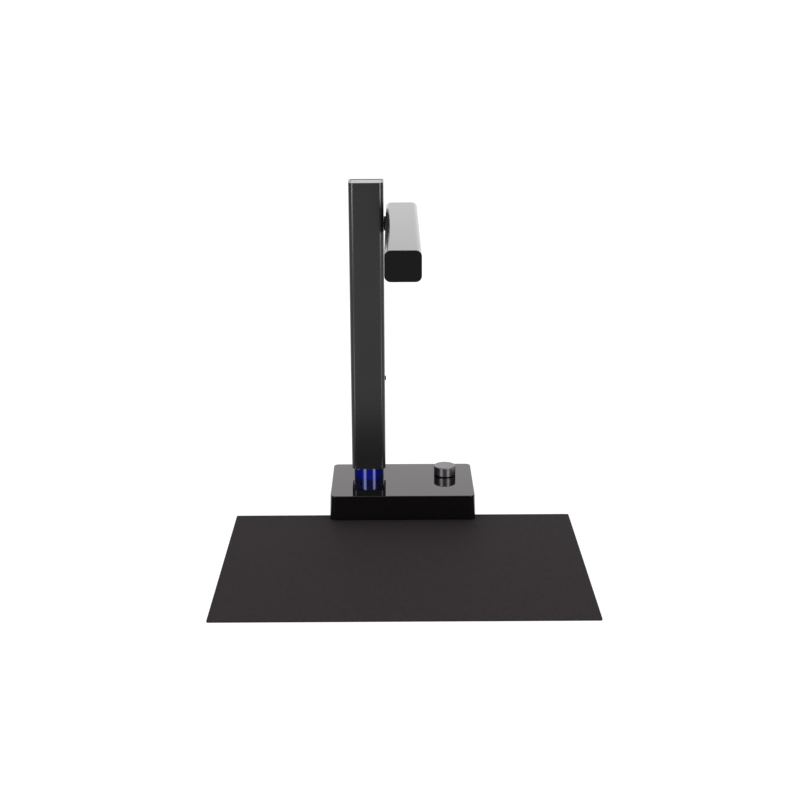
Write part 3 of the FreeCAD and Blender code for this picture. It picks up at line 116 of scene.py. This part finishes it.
# The camera: its place in metres, its turns in degrees, its sensor and lens in millimetres, and its shift
# as a share of the sensor's width.
CAMERA_PLACE = (-0.00616, -1.30736, 0.54119)
CAMERA_YAW = 0.0079
CAMERA_DOWN = 16.5249
CAMERA_ROLL = -0.3183
SENSOR_WIDTH = 36
LENS = 63.37364
LENS_SHIFT = 0.005
CLIP_RANGE = (0.05, 30)

# CAD nodes that are redrawn with their sharp edges rounded.
FINE_EDGED = (
    "base_top_shell", "base_bottom_cover", "usb_socket", "post_screws", "side_bumper", "pivot_boss",
    "cover_screws", "lens_barrel", "led_diffuser_front", "led_diffuser_rear", "arm_bottom_cover",
)
BROAD_EDGED = ("post_tube", "post_top_cap", "arm_shell", "arm_front_cap", "arm_rear_cap", "rubber_feet")

# Slots that share one kind of material: linear colour and roughness.
METALS = {
    "steel_plate": ((0.52, 0.52, 0.53, 1), 0.35),
    "hinge_steel": ((0.5, 0.5, 0.52, 1), 0.22),
    "screw_steel": ((0.06, 0.06, 0.062, 1), 0.3),
    "port_metal": ((0.58, 0.58, 0.6, 1), 0.25),
    "encoder_metal": ((0.5, 0.5, 0.52, 1), 0.35),
    "cast_metal": ((0.36, 0.36, 0.37, 1), 0.5),
    "spacer_brass": ((0.72, 0.52, 0.22, 1), 0.3),
    "bush_brass": ((0.62, 0.42, 0.2, 1), 0.4),
    "lens_black": ((0.02, 0.02, 0.021, 1), 0.4),
}
PLAIN_PARTS = {
    "sensor_dark": ((0.01, 0.015, 0.02, 1), 0.15),
    "led_yellow": ((0.8, 0.6, 0.12, 1), 0.4),
    "led_strip": ((0.62, 0.62, 0.58, 1), 0.45),
    "chip_black": ((0.012, 0.012, 0.013, 1), 0.5),
    "connector_white": ((0.7, 0.67, 0.58, 1), 0.45),
}


def middle(node):
    low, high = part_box(node)
    return (low + high) / 2


# ---------------------------------------------------------------- node helpers


class Finish:
    """A material on one Principled shader, with short calls for its procedural textures."""

    def __init__(self, name, **settings):
        self.material = bpy.data.materials.new(name)
        self.material.use_nodes = True
        self.tree = self.material.node_tree
        self.shader = self.tree.nodes["Principled BSDF"]
        for key, value in settings.items():
            socket = key.replace("_", " ").title().replace("Ior", "IOR")
            self.shader.inputs[socket].default_value = value
        self.point = self.node("ShaderNodeTexCoord").outputs["Object"]

    def node(self, kind, **values):
        node = self.tree.nodes.new(kind)
        for key, value in values.items():
            setattr(node, key, value)
        return node

    def feed(self, socket, value):
        """Links a node's output to the socket, or sets a plain value on it."""
        if isinstance(value, bpy.types.NodeSocket):
            self.tree.links.new(value, socket)
        else:
            socket.default_value = value

    def axis(self, letter):
        """The surface point's X, Y or Z in metres."""
        node = self.node("ShaderNodeSeparateXYZ")
        self.feed(node.inputs["Vector"], self.point)
        return node.outputs[letter]

    def noise(self, size, detail=2.0, roughness=0.5, stretch=(1, 1, 1)):
        """Noise whose blotches are about that size in metres, longer where stretch is under 1."""
        mapping = self.node("ShaderNodeMapping")
        self.feed(mapping.inputs["Vector"], self.point)
        self.feed(mapping.inputs["Scale"], stretch)
        node = self.node("ShaderNodeTexNoise")
        self.feed(node.inputs["Vector"], mapping.outputs["Vector"])
        self.feed(node.inputs["Scale"], 1 / size)
        self.feed(node.inputs["Detail"], detail)
        self.feed(node.inputs["Roughness"], roughness)
        return node.outputs["Fac"]

    def cells(self, size, feature):
        """Distances within cells of about that size in metres."""
        node = self.node("ShaderNodeTexVoronoi", feature=feature)
        self.feed(node.inputs["Vector"], self.point)
        self.feed(node.inputs["Scale"], 1 / size)
        return node.outputs["Distance"]

    def remap(self, value, source, target):
        """Carries the source range over to the target range, and holds it there."""
        node = self.node("ShaderNodeMapRange")
        self.feed(node.inputs["Value"], value)
        self.feed(node.inputs["From Min"], source[0])
        self.feed(node.inputs["From Max"], source[1])
        self.feed(node.inputs["To Min"], target[0])
        self.feed(node.inputs["To Max"], target[1])
        return node.outputs["Result"]

    def spread(self, noise, low, high):
        """A noise whose usual range becomes low to high."""
        return self.remap(noise, NOISE_RANGE, (low, high))

    def maths(self, operation, first, second=0.0):
        node = self.node("ShaderNodeMath", operation=operation)
        self.feed(node.inputs[0], first)
        self.feed(node.inputs[1], second)
        return node.outputs["Value"]

    def vectors(self, operation, first, second, result="Vector"):
        node = self.node("ShaderNodeVectorMath", operation=operation)
        self.feed(node.inputs[0], first)
        self.feed(node.inputs[1], second)
        return node.outputs[result]

    def wave(self, value, pitch):
        """A sine along value, with one wave to each pitch in metres."""
        return self.maths("SINE", self.maths("MULTIPLY", value, TURN / pitch))

    def blend(self, factor, first, second):
        node = self.node("ShaderNodeMix", data_type="RGBA")
        self.feed(node.inputs["Factor"], factor)
        self.feed(node.inputs["A"], first)
        self.feed(node.inputs["B"], second)
        return node.outputs["Result"]

    def bump(self, height, depth, under=None):
        """Relief of that depth in metres, on top of another relief where one is given."""
        node = self.node("ShaderNodeBump")
        self.feed(node.inputs["Height"], height)
        self.feed(node.inputs["Distance"], depth)
        if under is not None:
            self.feed(node.inputs["Normal"], under)
        return node.outputs["Normal"]

    def colour(self, value):
        self.feed(self.shader.inputs["Base Color"], value)

    def roughness(self, value):
        self.feed(self.shader.inputs["Roughness"], value)

    def normal(self, value):
        self.feed(self.shader.inputs["Normal"], value)

    def glow(self, value):
        self.feed(self.shader.inputs["Emission Color"], value)


def grey(value, warm=0.0):
    """A neutral tone, or one with its red raised by warm and its blue by less."""
    return (value * (1 + warm), value, value * (1 + 0.4 * warm), 1)


def violet(value):
    """A grey with a trace of violet, as on dark plated metal."""
    return (value, value * 0.97, value * 1.04, 1)


def shade(colour):
    """The same colour a little darker, to blend with it."""
    return tuple(channel * 0.85 for channel in colour[:3]) + (1,)


# ---------------------------------------------------------------- materials


def gloss_plastic():
    """Polished black moulding: a faint orange peel, a little dust and soft wipe marks."""
    black = (0.0031, 0.003, 0.0033, 1)
    dust_grey = grey(0.05)
    dust_cover = 0.06
    dust_roughness = 0.05
    finish = Finish("base_gloss", ior=1.5, specular_tint=(1, 0.8, 0.86, 1))
    dust = finish.remap(finish.noise(0.3 * MM, detail=3), (0.62, 0.72), (0, 1))
    wipes = finish.noise(30 * MM, detail=4, roughness=0.6, stretch=(1, 0.35, 1))
    finish.colour(finish.blend(finish.maths("MULTIPLY", dust, dust_cover), black, dust_grey))
    polish = finish.remap(wipes, (0.35, 0.75), (0.035, 0.075))
    finish.roughness(finish.maths("ADD", polish, finish.maths("MULTIPLY", dust, dust_roughness)))
    finish.normal(finish.bump(finish.noise(5 * MM, detail=1), 0.004 * MM))
    return finish.material


def cap_gloss():
    """Black moulding with a softer polish than the base's."""
    finish = Finish("cap_gloss", ior=1.5)
    finish.colour(grey(0.004))
    finish.roughness(finish.spread(finish.noise(9 * MM, detail=3), 0.08, 0.14))
    finish.normal(finish.bump(finish.noise(3 * MM, detail=1), 0.002 * MM))
    return finish.material


def anodised(name, along, ior, satin, value):
    """Dark satin anodising over an extrusion: fine draw lines along that axis and a bead-blasted grain."""
    drawn_out = [1, 1, 1]
    drawn_out[along] = 0.01
    warm = 0.03
    finish = Finish(name, ior=ior, specular_ior_level=0.5)
    lines = finish.noise(0.5 * MM, detail=4, roughness=0.65, stretch=drawn_out)
    grain = finish.noise(0.12 * MM, roughness=0.6)
    cloud = finish.noise(40 * MM, detail=3)
    finish.colour(finish.blend(cloud, grey(value * 0.85, warm), grey(value * 1.15, warm)))
    rough = finish.remap(lines, (0.25, 0.75), (satin - 0.02, satin + 0.02))
    finish.roughness(finish.maths("ADD", rough, finish.spread(cloud, -0.01, 0.01)))
    relief = finish.bump(grain, 0.0005 * MM)
    finish.normal(finish.bump(lines, 0.0004 * MM, relief))
    return finish.material


def moulded_matte(name, value, level):
    """Spark-eroded moulded plastic: a fine even stipple."""
    finish = Finish(name, ior=1.46, specular_ior_level=level)
    stipple = finish.noise(0.18 * MM, detail=3, roughness=0.6)
    cloud = finish.noise(14 * MM, detail=3)
    finish.colour(finish.blend(cloud, grey(value * 0.9), grey(value * 1.12)))
    finish.roughness(finish.spread(stipple, 0.44, 0.56))
    finish.normal(finish.bump(stipple, 0.02 * MM))
    return finish.material


def rubber(name, value, roughness):
    warm = 0.04
    finish = Finish(name, ior=1.5, specular_ior_level=0.35)
    speckle = finish.noise(0.25 * MM, detail=3, roughness=0.6)
    finish.colour(finish.blend(speckle, grey(value * 0.8, warm), grey(value * 1.2, warm)))
    finish.roughness(finish.spread(speckle, roughness - 0.05, roughness + 0.08))
    finish.normal(finish.bump(speckle, 0.02 * MM))
    return finish.material


def leathered_mat():
    """Matte rubberised sheet with a pressed leather grain, painted shade in its creases, and faint handling
    marks.
    """
    dark = (0.0248, 0.0204, 0.0215, 1)
    light = (0.0287, 0.0237, 0.025, 1)
    # Painted shade: the grain's creases are painted darker than the rest of the sheet.
    crease_painted_shade = (0.0195, 0.0164, 0.0172, 1)
    finish = Finish("mat_rubber", ior=1.45, specular_ior_level=0.05)
    pores = finish.cells(0.9 * MM, "SMOOTH_F1")
    creases = finish.cells(1.7 * MM, "DISTANCE_TO_EDGE")
    fine = finish.noise(0.2 * MM, detail=3, roughness=0.6)
    cloud = finish.noise(60 * MM, detail=4, roughness=0.55)
    valley = finish.remap(creases, (0.0, 0.12), (0, 1))
    finish.colour(finish.blend(valley, crease_painted_shade, finish.blend(cloud, dark, light)))
    finish.roughness(finish.spread(fine, 0.66, 0.8))
    relief = finish.bump(valley, 0.05 * MM)
    relief = finish.bump(pores, 0.03 * MM, relief)
    finish.normal(finish.bump(fine, 0.015 * MM, relief))
    return finish.material


def lit_blue(node):
    """Blue tinted acrylic, lit from inside, its glow painted brightest near the middle of its width as seen
    from the front, with painted shade darkening its left and right sides.
    """
    body = (0.0005, 0.001, 0.03, 1)
    side_glow_in_painted_shade = (0, 0.0015, 0.006, 1)
    lit = (0.0012, 0.003, 0.122, 1)
    glow_middle = middle(node).x - 1.9 * MM
    glow_reach = 15.2 * MM
    least_glow = 0.08
    finish = Finish("ring_blue", ior=1.5, specular_ior_level=0.85, specular_tint=(0.08, 0.18, 1.0, 1),
                    coat_weight=0.85, coat_roughness=0.05, coat_ior=1.5, emission_strength=1.0)
    # Painted shade: along X the glow is dimmed from the ring's middle towards its left and right sides.
    side = finish.remap(finish.axis("X"), (glow_middle - glow_reach, glow_middle + glow_reach), (-1, 1))
    painted_middle_glow = finish.maths("SUBTRACT", 1.0, finish.maths("MULTIPLY", side, side))
    cloud = finish.spread(finish.noise(4 * MM, stretch=(1, 1, 0.3)), 0.92, 1.08)
    share = finish.maths("MULTIPLY", finish.maths("MAXIMUM", painted_middle_glow, least_glow), cloud)
    finish.colour(body)
    finish.glow(finish.blend(share, side_glow_in_painted_shade, lit))
    finish.roughness(0.08)
    return finish.material


def turned_metal(name, node, value, roughness):
    """Dark turned metal: fine lathe rings about the node's upright axis, and a top face painted lighter as a
    painted highlight from the bright studio above.
    """
    centre = middle(node)
    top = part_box(node)[1].z
    painted_top_light = 1.32
    cloud_wear = 0.4
    finish = Finish(name, metallic=1.0)
    plan = finish.vectors("MULTIPLY", finish.point, (1, 1, 0))
    radius = finish.vectors("DISTANCE", plan, (centre.x, centre.y, 0), "Value")
    rings = finish.wave(radius, 0.22 * MM)
    band = finish.noise(0.16 * MM, detail=3, roughness=0.6, stretch=(0.02, 0.02, 1))
    cloud = finish.noise(5 * MM, detail=3)
    # Painted highlight: the top face is painted lighter than the sides, standing in for the light that falls
    # on it from above.
    face = finish.remap(finish.axis("Z"), (top - 0.6 * MM, top - 0.2 * MM), (0, 1))
    side = finish.blend(cloud, violet(value * 0.92), violet(value * 1.08))
    finish.colour(finish.blend(face, side, violet(value * painted_top_light)))
    wear = finish.maths("ADD", band, finish.maths("MULTIPLY", cloud, cloud_wear))
    finish.roughness(finish.remap(wear, (0.4, 1.0), (roughness - 0.04, roughness + 0.06)))
    relief = finish.bump(rings, 0.0004 * MM)
    finish.normal(finish.bump(band, 0.0008 * MM, relief))
    return finish.material


def plated(name, colour, roughness):
    """Plain or plated metal, clouded by handling."""
    wear = 0.06
    finish = Finish(name, metallic=1.0)
    cloud = finish.noise(3 * MM, detail=4, roughness=0.6)
    finish.colour(finish.blend(cloud, shade(colour), colour))
    finish.roughness(finish.spread(cloud, roughness - wear, roughness + wear))
    finish.normal(finish.bump(finish.noise(0.15 * MM), 0.002 * MM))
    return finish.material


def coated_glass():
    finish = Finish("lens_glass", ior=1.52, transmission_weight=1.0)
    finish.colour((0.93, 0.96, 0.98, 1))
    finish.roughness(finish.remap(finish.noise(6 * MM, detail=3), (0.4, 0.7), (0.0, 0.02)))
    return finish.material


def opal():
    """Milky ribbed diffuser over the lamps."""
    finish = Finish("diffuser_white", ior=1.49, subsurface_weight=0.4, subsurface_scale=2 * MM)
    cloud = finish.noise(6 * MM)
    finish.colour(finish.blend(cloud, (0.80, 0.80, 0.77, 1), (0.86, 0.86, 0.83, 1)))
    finish.roughness(finish.spread(cloud, 0.38, 0.46))
    relief = finish.bump(finish.wave(finish.axis("X"), 0.8 * MM), 0.05 * MM)
    finish.normal(finish.bump(finish.noise(0.2 * MM), 0.006 * MM, relief))
    return finish.material


def circuit_board():
    """Green solder mask with paler tracks under it."""
    finish = Finish("board_green", ior=1.5)
    tracks = finish.remap(finish.cells(2.2 * MM, "DISTANCE_TO_EDGE"), (0.05, 0.08), (0, 1))
    finish.colour(finish.blend(tracks, (0.02, 0.13, 0.05, 1), (0.008, 0.06, 0.025, 1)))
    finish.roughness(0.3)
    finish.normal(finish.bump(tracks, 0.02 * MM))
    return finish.material


def plain_part(name, colour, roughness):
    finish = Finish(name, ior=1.5)
    cloud = finish.noise(2 * MM, detail=3)
    finish.colour(finish.blend(cloud, shade(colour), colour))
    finish.roughness(finish.spread(cloud, roughness - 0.05, roughness + 0.08))
    return finish.material


def make_materials():
    """Every slot's material, by the slot's name."""
    finishes = {
        "base_gloss": gloss_plastic(),
        "cap_gloss": cap_gloss(),
        "post_anodised": anodised("post_anodised", along=2, ior=1.36, satin=0.22, value=0.0136),
        "arm_anodised": anodised("arm_anodised", along=1, ior=1.66, satin=0.13, value=0.0054),
        "cover_matte": moulded_matte("cover_matte", value=0.012, level=0.35),
        "arm_cap_matte": moulded_matte("arm_cap_matte", value=0.0038, level=0.06),
        "boss_black": moulded_matte("boss_black", value=0.002, level=0.1),
        "foot_rubber": rubber("foot_rubber", value=0.012, roughness=0.7),
        "wire_black": rubber("wire_black", value=0.01, roughness=0.5),
        "mat_rubber": leathered_mat(),
        "ring_blue": lit_blue("light_ring"),
        "knob_metal": turned_metal("knob_metal", "knob_cap", value=0.122, roughness=0.3),
        "lens_glass": coated_glass(),
        "diffuser_white": opal(),
        "board_green": circuit_board(),
    }
    for name, (colour, roughness) in METALS.items():
        finishes[name] = plated(name, colour, roughness)
    for name, (colour, roughness) in PLAIN_PARTS.items():
        finishes[name] = plain_part(name, colour, roughness)
    return finishes


# ---------------------------------------------------------------- meshes


def finished_mesh(name, shape):
    """The bmesh as a mesh, with its faces turned outwards and shaded smooth."""
    bmesh.ops.recalc_face_normals(shape, faces=shape.faces)
    mesh = bpy.data.meshes.new(name)
    shape.to_mesh(mesh)
    shape.free()
    mesh.polygons.foreach_set("use_smooth", [True] * len(mesh.polygons))
    return mesh


def new_piece(name, mesh, body, slot):
    piece = bpy.data.objects.new(name, mesh)
    bpy.context.scene.collection.objects.link(piece)
    mesh.materials.append(FINISHES[slot])
    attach(piece, body)
    return piece


def level_shading(piece):
    """Keeps the large faces flat in their shading, so that only the rounded edges bend a reflection."""
    level = piece.modifiers.new("level", "WEIGHTED_NORMAL")
    level.mode = "FACE_AREA"
    level.weight = 100
    level.keep_sharp = True


def eased(name, width):
    """Redraws a CAD node with its sharp edges very slightly rounded, as on a real moulding."""
    source = frame["nodes"][name]
    shape = bmesh.new()
    for vertex in source.data.vertices:
        shape.verts.new(vertex.co)
    shape.verts.ensure_lookup_table()
    for polygon in source.data.polygons:
        corners = [shape.verts[i] for i in polygon.vertices]
        if shape.faces.get(corners) is None:
            shape.faces.new(corners)
    bmesh.ops.remove_doubles(shape, verts=shape.verts, dist=WELD_DISTANCE)
    bmesh.ops.dissolve_degenerate(shape, edges=shape.edges, dist=LEAST_EDGE)
    bmesh.ops.dissolve_limit(shape, angle_limit=FLAT_ANGLE, verts=shape.verts, edges=shape.edges)
    mesh = finished_mesh(f"{name}_eased", shape)
    piece = new_piece(f"{name}_eased", mesh, source["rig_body"], SLOTS[name])
    bevel = piece.modifiers.new("ease", "BEVEL")
    bevel.width = width
    bevel.segments = 3
    bevel.limit_method = "ANGLE"
    bevel.angle_limit = BEVEL_ANGLE
    level_shading(piece)
    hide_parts(name)


def lathe(name, profile, centre):
    """A closed turned mesh about an upright axis, from (radius, height) points."""
    shape = bmesh.new()
    rings = []
    for radius, height in profile:
        ring = []
        for step in range(LATHE_STEPS if radius > ON_AXIS else 1):
            turn = TURN * step / LATHE_STEPS
            spot = (centre.x + radius * math.cos(turn), centre.y + radius * math.sin(turn), height)
            ring.append(shape.verts.new(spot))
        rings.append(ring)
    hollow = profile[0][0] > ON_AXIS
    following = rings[1:] + rings[:1] if hollow else rings[1:]
    for low, high in zip(rings, following):
        for step in range(LATHE_STEPS):
            corners = [low[step % len(low)], low[(step + 1) % len(low)]]
            corners += [high[(step + 1) % len(high)], high[step % len(high)]]
            shape.faces.new(list(dict.fromkeys(corners)))
    return finished_mesh(name, shape)


def arc(start, end, share):
    """A point between two spokes of one circle, at a share of the way round."""
    turn = start.angle(end)
    return (start * math.sin((1 - share) * turn) + end * math.sin(share * turn)) / math.sin(turn)


def rounded_corner(before, corner, after, radius, steps=4):
    """Points of an arc that rounds the corner between its neighbours."""
    corner = Vector(corner)
    back = (Vector(before) - corner).normalized()
    onward = (Vector(after) - corner).normalized()
    half = back.angle(onward) / 2
    reach = radius / math.tan(half)
    centre = corner + (back + onward).normalized() * radius / math.sin(half)
    start = corner + back * reach - centre
    end = corner + onward * reach - centre
    return [tuple(centre + arc(start, end, step / steps)) for step in range(steps + 1)]


def softened(corners):
    """The points of a closed profile, from (radius, height, rounding) corners."""
    points = []
    for index, (radius, height, rounding) in enumerate(corners):
        if rounding > 0:
            before = corners[index - 1][:2]
            after = corners[(index + 1) % len(corners)][:2]
            points += rounded_corner(before, (radius, height), after, rounding)
        else:
            points.append((radius, height))
    return points


def rounded_outline(low, high, radius, inset, steps=8):
    """The plan outline of a rounded rectangle, moved in by inset."""
    points = []
    bend = max(radius - inset, 0.0)
    x_range = (low.x + inset + bend, high.x - inset - bend)
    y_range = (low.y + inset + bend, high.y - inset - bend)
    for quarter, (right, back) in enumerate([(1, 1), (0, 1), (0, 0), (1, 0)]):
        for step in range(steps + 1):
            turn = (quarter + step / steps) * TURN / 4
            points.append((x_range[right] + bend * math.cos(turn), y_range[back] + bend * math.sin(turn)))
    return points


def slab(name, low, high, corner, edge, steps=4):
    """A flat sheet with rounded corners and softly rounded top and bottom edges."""
    turns = [TURN / 4 * step / steps for step in range(steps + 1)]
    levels = [(edge * (1 - math.sin(turn)), low.z + edge * (1 - math.cos(turn))) for turn in turns]
    levels += [(edge * (1 - math.cos(turn)), high.z - edge * (1 - math.sin(turn))) for turn in turns]
    shape = bmesh.new()
    loops = []
    for inset, height in levels:
        outline = rounded_outline(low, high, corner, inset)
        loops.append([shape.verts.new((x, y, height)) for x, y in outline])
    for lower, upper in zip(loops, loops[1:]):
        for index in range(len(lower)):
            after = (index + 1) % len(lower)
            shape.faces.new((lower[index], lower[after], upper[after], upper[index]))
    shape.faces.new(reversed(loops[0]))
    shape.faces.new(loops[-1])
    return finished_mesh(name, shape)


# ---------------------------------------------------------------- the scanner


def dress_frame():
    """Gives every CAD node its finish, and rounds the sharp edges of those that show."""
    for name, item in frame["nodes"].items():
        item.data.materials.clear()
        item.data.materials.append(FINISHES[SLOTS[name]])
    for name in FINE_EDGED:
        eased(name, FINE_EDGE)
    for name in BROAD_EDGED:
        eased(name, BROAD_EDGE)


def make_mat():
    low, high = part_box("document_mat")
    mesh = slab("mat_sheet", low, high, corner=1.5 * MM, edge=0.6 * MM)
    mesh.set_sharp_from_angle(angle=SHARP_ANGLE)
    mat = new_piece("mat_sheet", mesh, "mat", "mat_rubber")
    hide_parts("document_mat")


def make_knob():
    """A hollow cap with a groove round its top face and a hub on the encoder's shaft."""
    low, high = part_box("knob_cap")
    outside = (high.x - low.x) / 2
    inside = outside - 2.1 * MM
    roof = high.z - 2.5 * MM
    hub = 5 * MM
    hub_low = low.z + 2.5 * MM
    shaft = 3.05 * MM
    shaft_top = high.z - 3.1 * MM
    top_chamfer = 0.5 * MM
    foot_chamfer = 0.3 * MM
    groove_side = 0.2 * MM
    groove_depth = 0.12 * MM
    groove = outside - top_chamfer
    crisp = 0.05 * MM
    crisp_floor = 0.04 * MM
    small = 0.1 * MM
    round_shoulder = 0.25 * MM
    moulded = 0.3 * MM
    corners = [
        (0, high.z, 0),
        (groove - 3 * groove_side, high.z, crisp),
        (groove - 2 * groove_side, high.z - groove_depth, crisp_floor),
        (groove - groove_side, high.z - groove_depth, crisp_floor),
        (groove, high.z, crisp),
        (outside, high.z - top_chamfer, round_shoulder),
        (outside, low.z + foot_chamfer, small),
        (outside - foot_chamfer, low.z, small),
        (inside, low.z, small),
        (inside, roof, moulded),
        (hub, roof, moulded),
        (hub, hub_low, small),
        (shaft, hub_low, 0),
        (shaft, shaft_top, 0),
        (0, shaft_top, 0),
    ]
    mesh = lathe("knob_body", softened(corners), middle("knob_cap"))
    mesh.set_sharp_from_angle(angle=SHARP_ANGLE)
    knob = new_piece("knob_body", mesh, "knob", "knob_metal")
    level_shading(knob)
    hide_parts("knob_cap")


def make_ring():
    low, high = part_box("light_ring")
    outside = (high.x - low.x) / 2
    inside = outside - 2 * MM
    rounding = 0.3 * MM
    spots = [(outside, low.z), (outside, high.z), (inside, high.z), (inside, low.z)]
    corners = [(radius, height, rounding) for radius, height in spots]
    mesh = lathe("ring_lens", softened(corners), middle("light_ring"))
    ring = new_piece("ring_lens", mesh, "base", "ring_blue")
    level_shading(ring)
    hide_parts("light_ring")


# ---------------------------------------------------------------- studio


def paint(name, colour, strength=0.0):
    """A plain surface of the studio, with its own light where strength is given."""
    material = bpy.data.materials.new(name)
    material.use_nodes = True
    inputs = material.node_tree.nodes["Principled BSDF"].inputs
    inputs["Base Color"].default_value = colour
    inputs["Roughness"].default_value = 0.9
    inputs["Specular IOR Level"].default_value = 0.0
    inputs["Emission Color"].default_value = (1, 1, 1, 1)
    inputs["Emission Strength"].default_value = strength
    return material


def graded(material, strength, rise, fall=None, rest=0.0):
    """Raises a card's light to strength over rise, and drops it to rest over fall: shares of its height."""
    tree = material.node_tree
    split = tree.nodes.new("ShaderNodeSeparateXYZ")
    tree.links.new(tree.nodes.new("ShaderNodeTexCoord").outputs["Generated"], split.inputs["Vector"])
    product = tree.nodes.new("ShaderNodeMath")
    product.operation = "MULTIPLY"
    product.inputs[1].default_value = strength
    slopes = [(rise, 0.0, 1.0)]
    if fall is not None:
        slopes.append((fall, strength, rest))
    for factor, ((low, high), first, last) in zip(product.inputs, slopes):
        ramp = tree.nodes.new("ShaderNodeMapRange")
        ramp.interpolation_type = "SMOOTHSTEP"
        for key, value in {"From Min": low, "From Max": high, "To Min": first, "To Max": last}.items():
            ramp.inputs[key].default_value = value
        tree.links.new(split.outputs["Y"], ramp.inputs["Value"])
        tree.links.new(ramp.outputs["Result"], factor)
    tree.links.new(product.outputs["Value"], tree.nodes["Principled BSDF"].inputs["Emission Strength"])


def card(name, spot, size, turn, material, tilt=UPRIGHT):
    """A card of the studio that only reflections see."""
    bpy.ops.mesh.primitive_plane_add(size=1)
    item = bpy.context.object
    item.name = name
    item.location = spot
    item.rotation_euler = Euler((tilt, 0, turn))
    item.scale = (size[0], size[1], 1)
    item.data.materials.append(material)
    item.visible_camera = False
    item.visible_diffuse = False
    item.visible_transmission = False
    item.visible_shadow = False


def make_world():
    world = bpy.data.worlds.new("studio")
    bpy.context.scene.world = world
    world.use_nodes = True
    inputs = world.node_tree.nodes["Background"].inputs
    inputs["Color"].default_value = (1, 1, 1, 1)
    inputs["Strength"].default_value = WORLD_LIGHT


def make_floor():
    bpy.ops.mesh.primitive_plane_add(size=FLOOR_SIZE)
    floor = bpy.context.object
    floor.name = "studio_floor"
    floor.location = (0, 0, -FLOOR_DROP)
    floor.data.materials.append(paint("floor_white", FLOOR_TONE, FLOOR_LIGHT))


def make_strips(centre):
    """Two tall strip lights, each with a wider card at its foot and a lit patch of floor before it."""
    strip = paint("strip_light", CARD_BLACK)
    graded(strip, STRIP_LIGHT, STRIP_RISE, STRIP_FALL, STRIP_TOP_LIGHT)
    pool = paint("light_pool", CARD_BLACK, POOL_LIGHT)
    for name, look in STRIPS.items():
        turn = math.radians(look["degrees"])
        away = Vector((math.sin(turn), -math.cos(turn), 0))
        spot = centre + away * STRIP_DISTANCE + Vector((0, 0, STRIP_HEIGHT / 2))
        card(name, spot, (look["width"], STRIP_HEIGHT), turn, strip)
        foot = paint(f"{name}_foot_light", CARD_BLACK)
        graded(foot, look["foot_light"], FOOT_RISE)
        spot = centre + away * FOOT_DISTANCE + Vector((0, 0, FOOT_HEIGHT / 2))
        card(f"{name}_foot", spot, (look["width"] * FOOT_WIDENING, FOOT_HEIGHT), turn, foot)
        spot = centre + away * POOL_DISTANCE + Vector((0, 0, POOL_LIFT))
        card(f"{name}_pool", spot, POOL_SIZE, turn, pool, tilt=0)


def make_cards():
    """The strip lights, a dim card in front and a dark one at each side."""
    centre = Vector((0, middle("base_top_shell").y, 0))
    make_strips(centre)
    front = paint("front_dim", CARD_BLACK, FRONT_LIGHT)
    card("front_card", centre + FRONT_OFFSET, FRONT_SIZE, 0.0, front)
    flag = paint("flag_grey", CARD_BLACK, FLAG_LIGHT)
    for name, side in (("flag_left", -1), ("flag_right", 1)):
        spot = centre + FLAG_OFFSET * Vector((side, 1, 1))
        card(name, spot, FLAG_SIZE, UPRIGHT, flag)


def make_camera():
    """The view of the reference picture: slightly above, from the operator's side."""
    data = bpy.data.cameras.new("camera")
    data.sensor_width = SENSOR_WIDTH
    data.lens = LENS
    data.shift_x = LENS_SHIFT
    data.clip_start, data.clip_end = CLIP_RANGE
    camera = bpy.data.objects.new("camera", data)
    bpy.context.scene.collection.objects.link(camera)
    placement = Matrix.Translation(CAMERA_PLACE)
    for axis, degrees in (("Z", CAMERA_YAW), ("X", 90 - CAMERA_DOWN), ("Z", CAMERA_ROLL)):
        placement = placement @ Matrix.Rotation(math.radians(degrees), 4, axis)
    camera.matrix_world = placement
    bpy.context.scene.camera = camera


def make_studio():
    view = bpy.context.scene.view_settings
    view.view_transform = "Standard"
    view.look = "None"
    view.exposure = 0
    view.gamma = 1
    make_world()
    make_floor()
    make_cards()
    make_camera()


# ---------------------------------------------------------------- the scene


SLOTS = {row["node"]: row["material_slot"] for row in frame["record"]["subparts"]}
FINISHES = make_materials()
dress_frame()
make_mat()
make_knob()
make_ring()
make_studio()
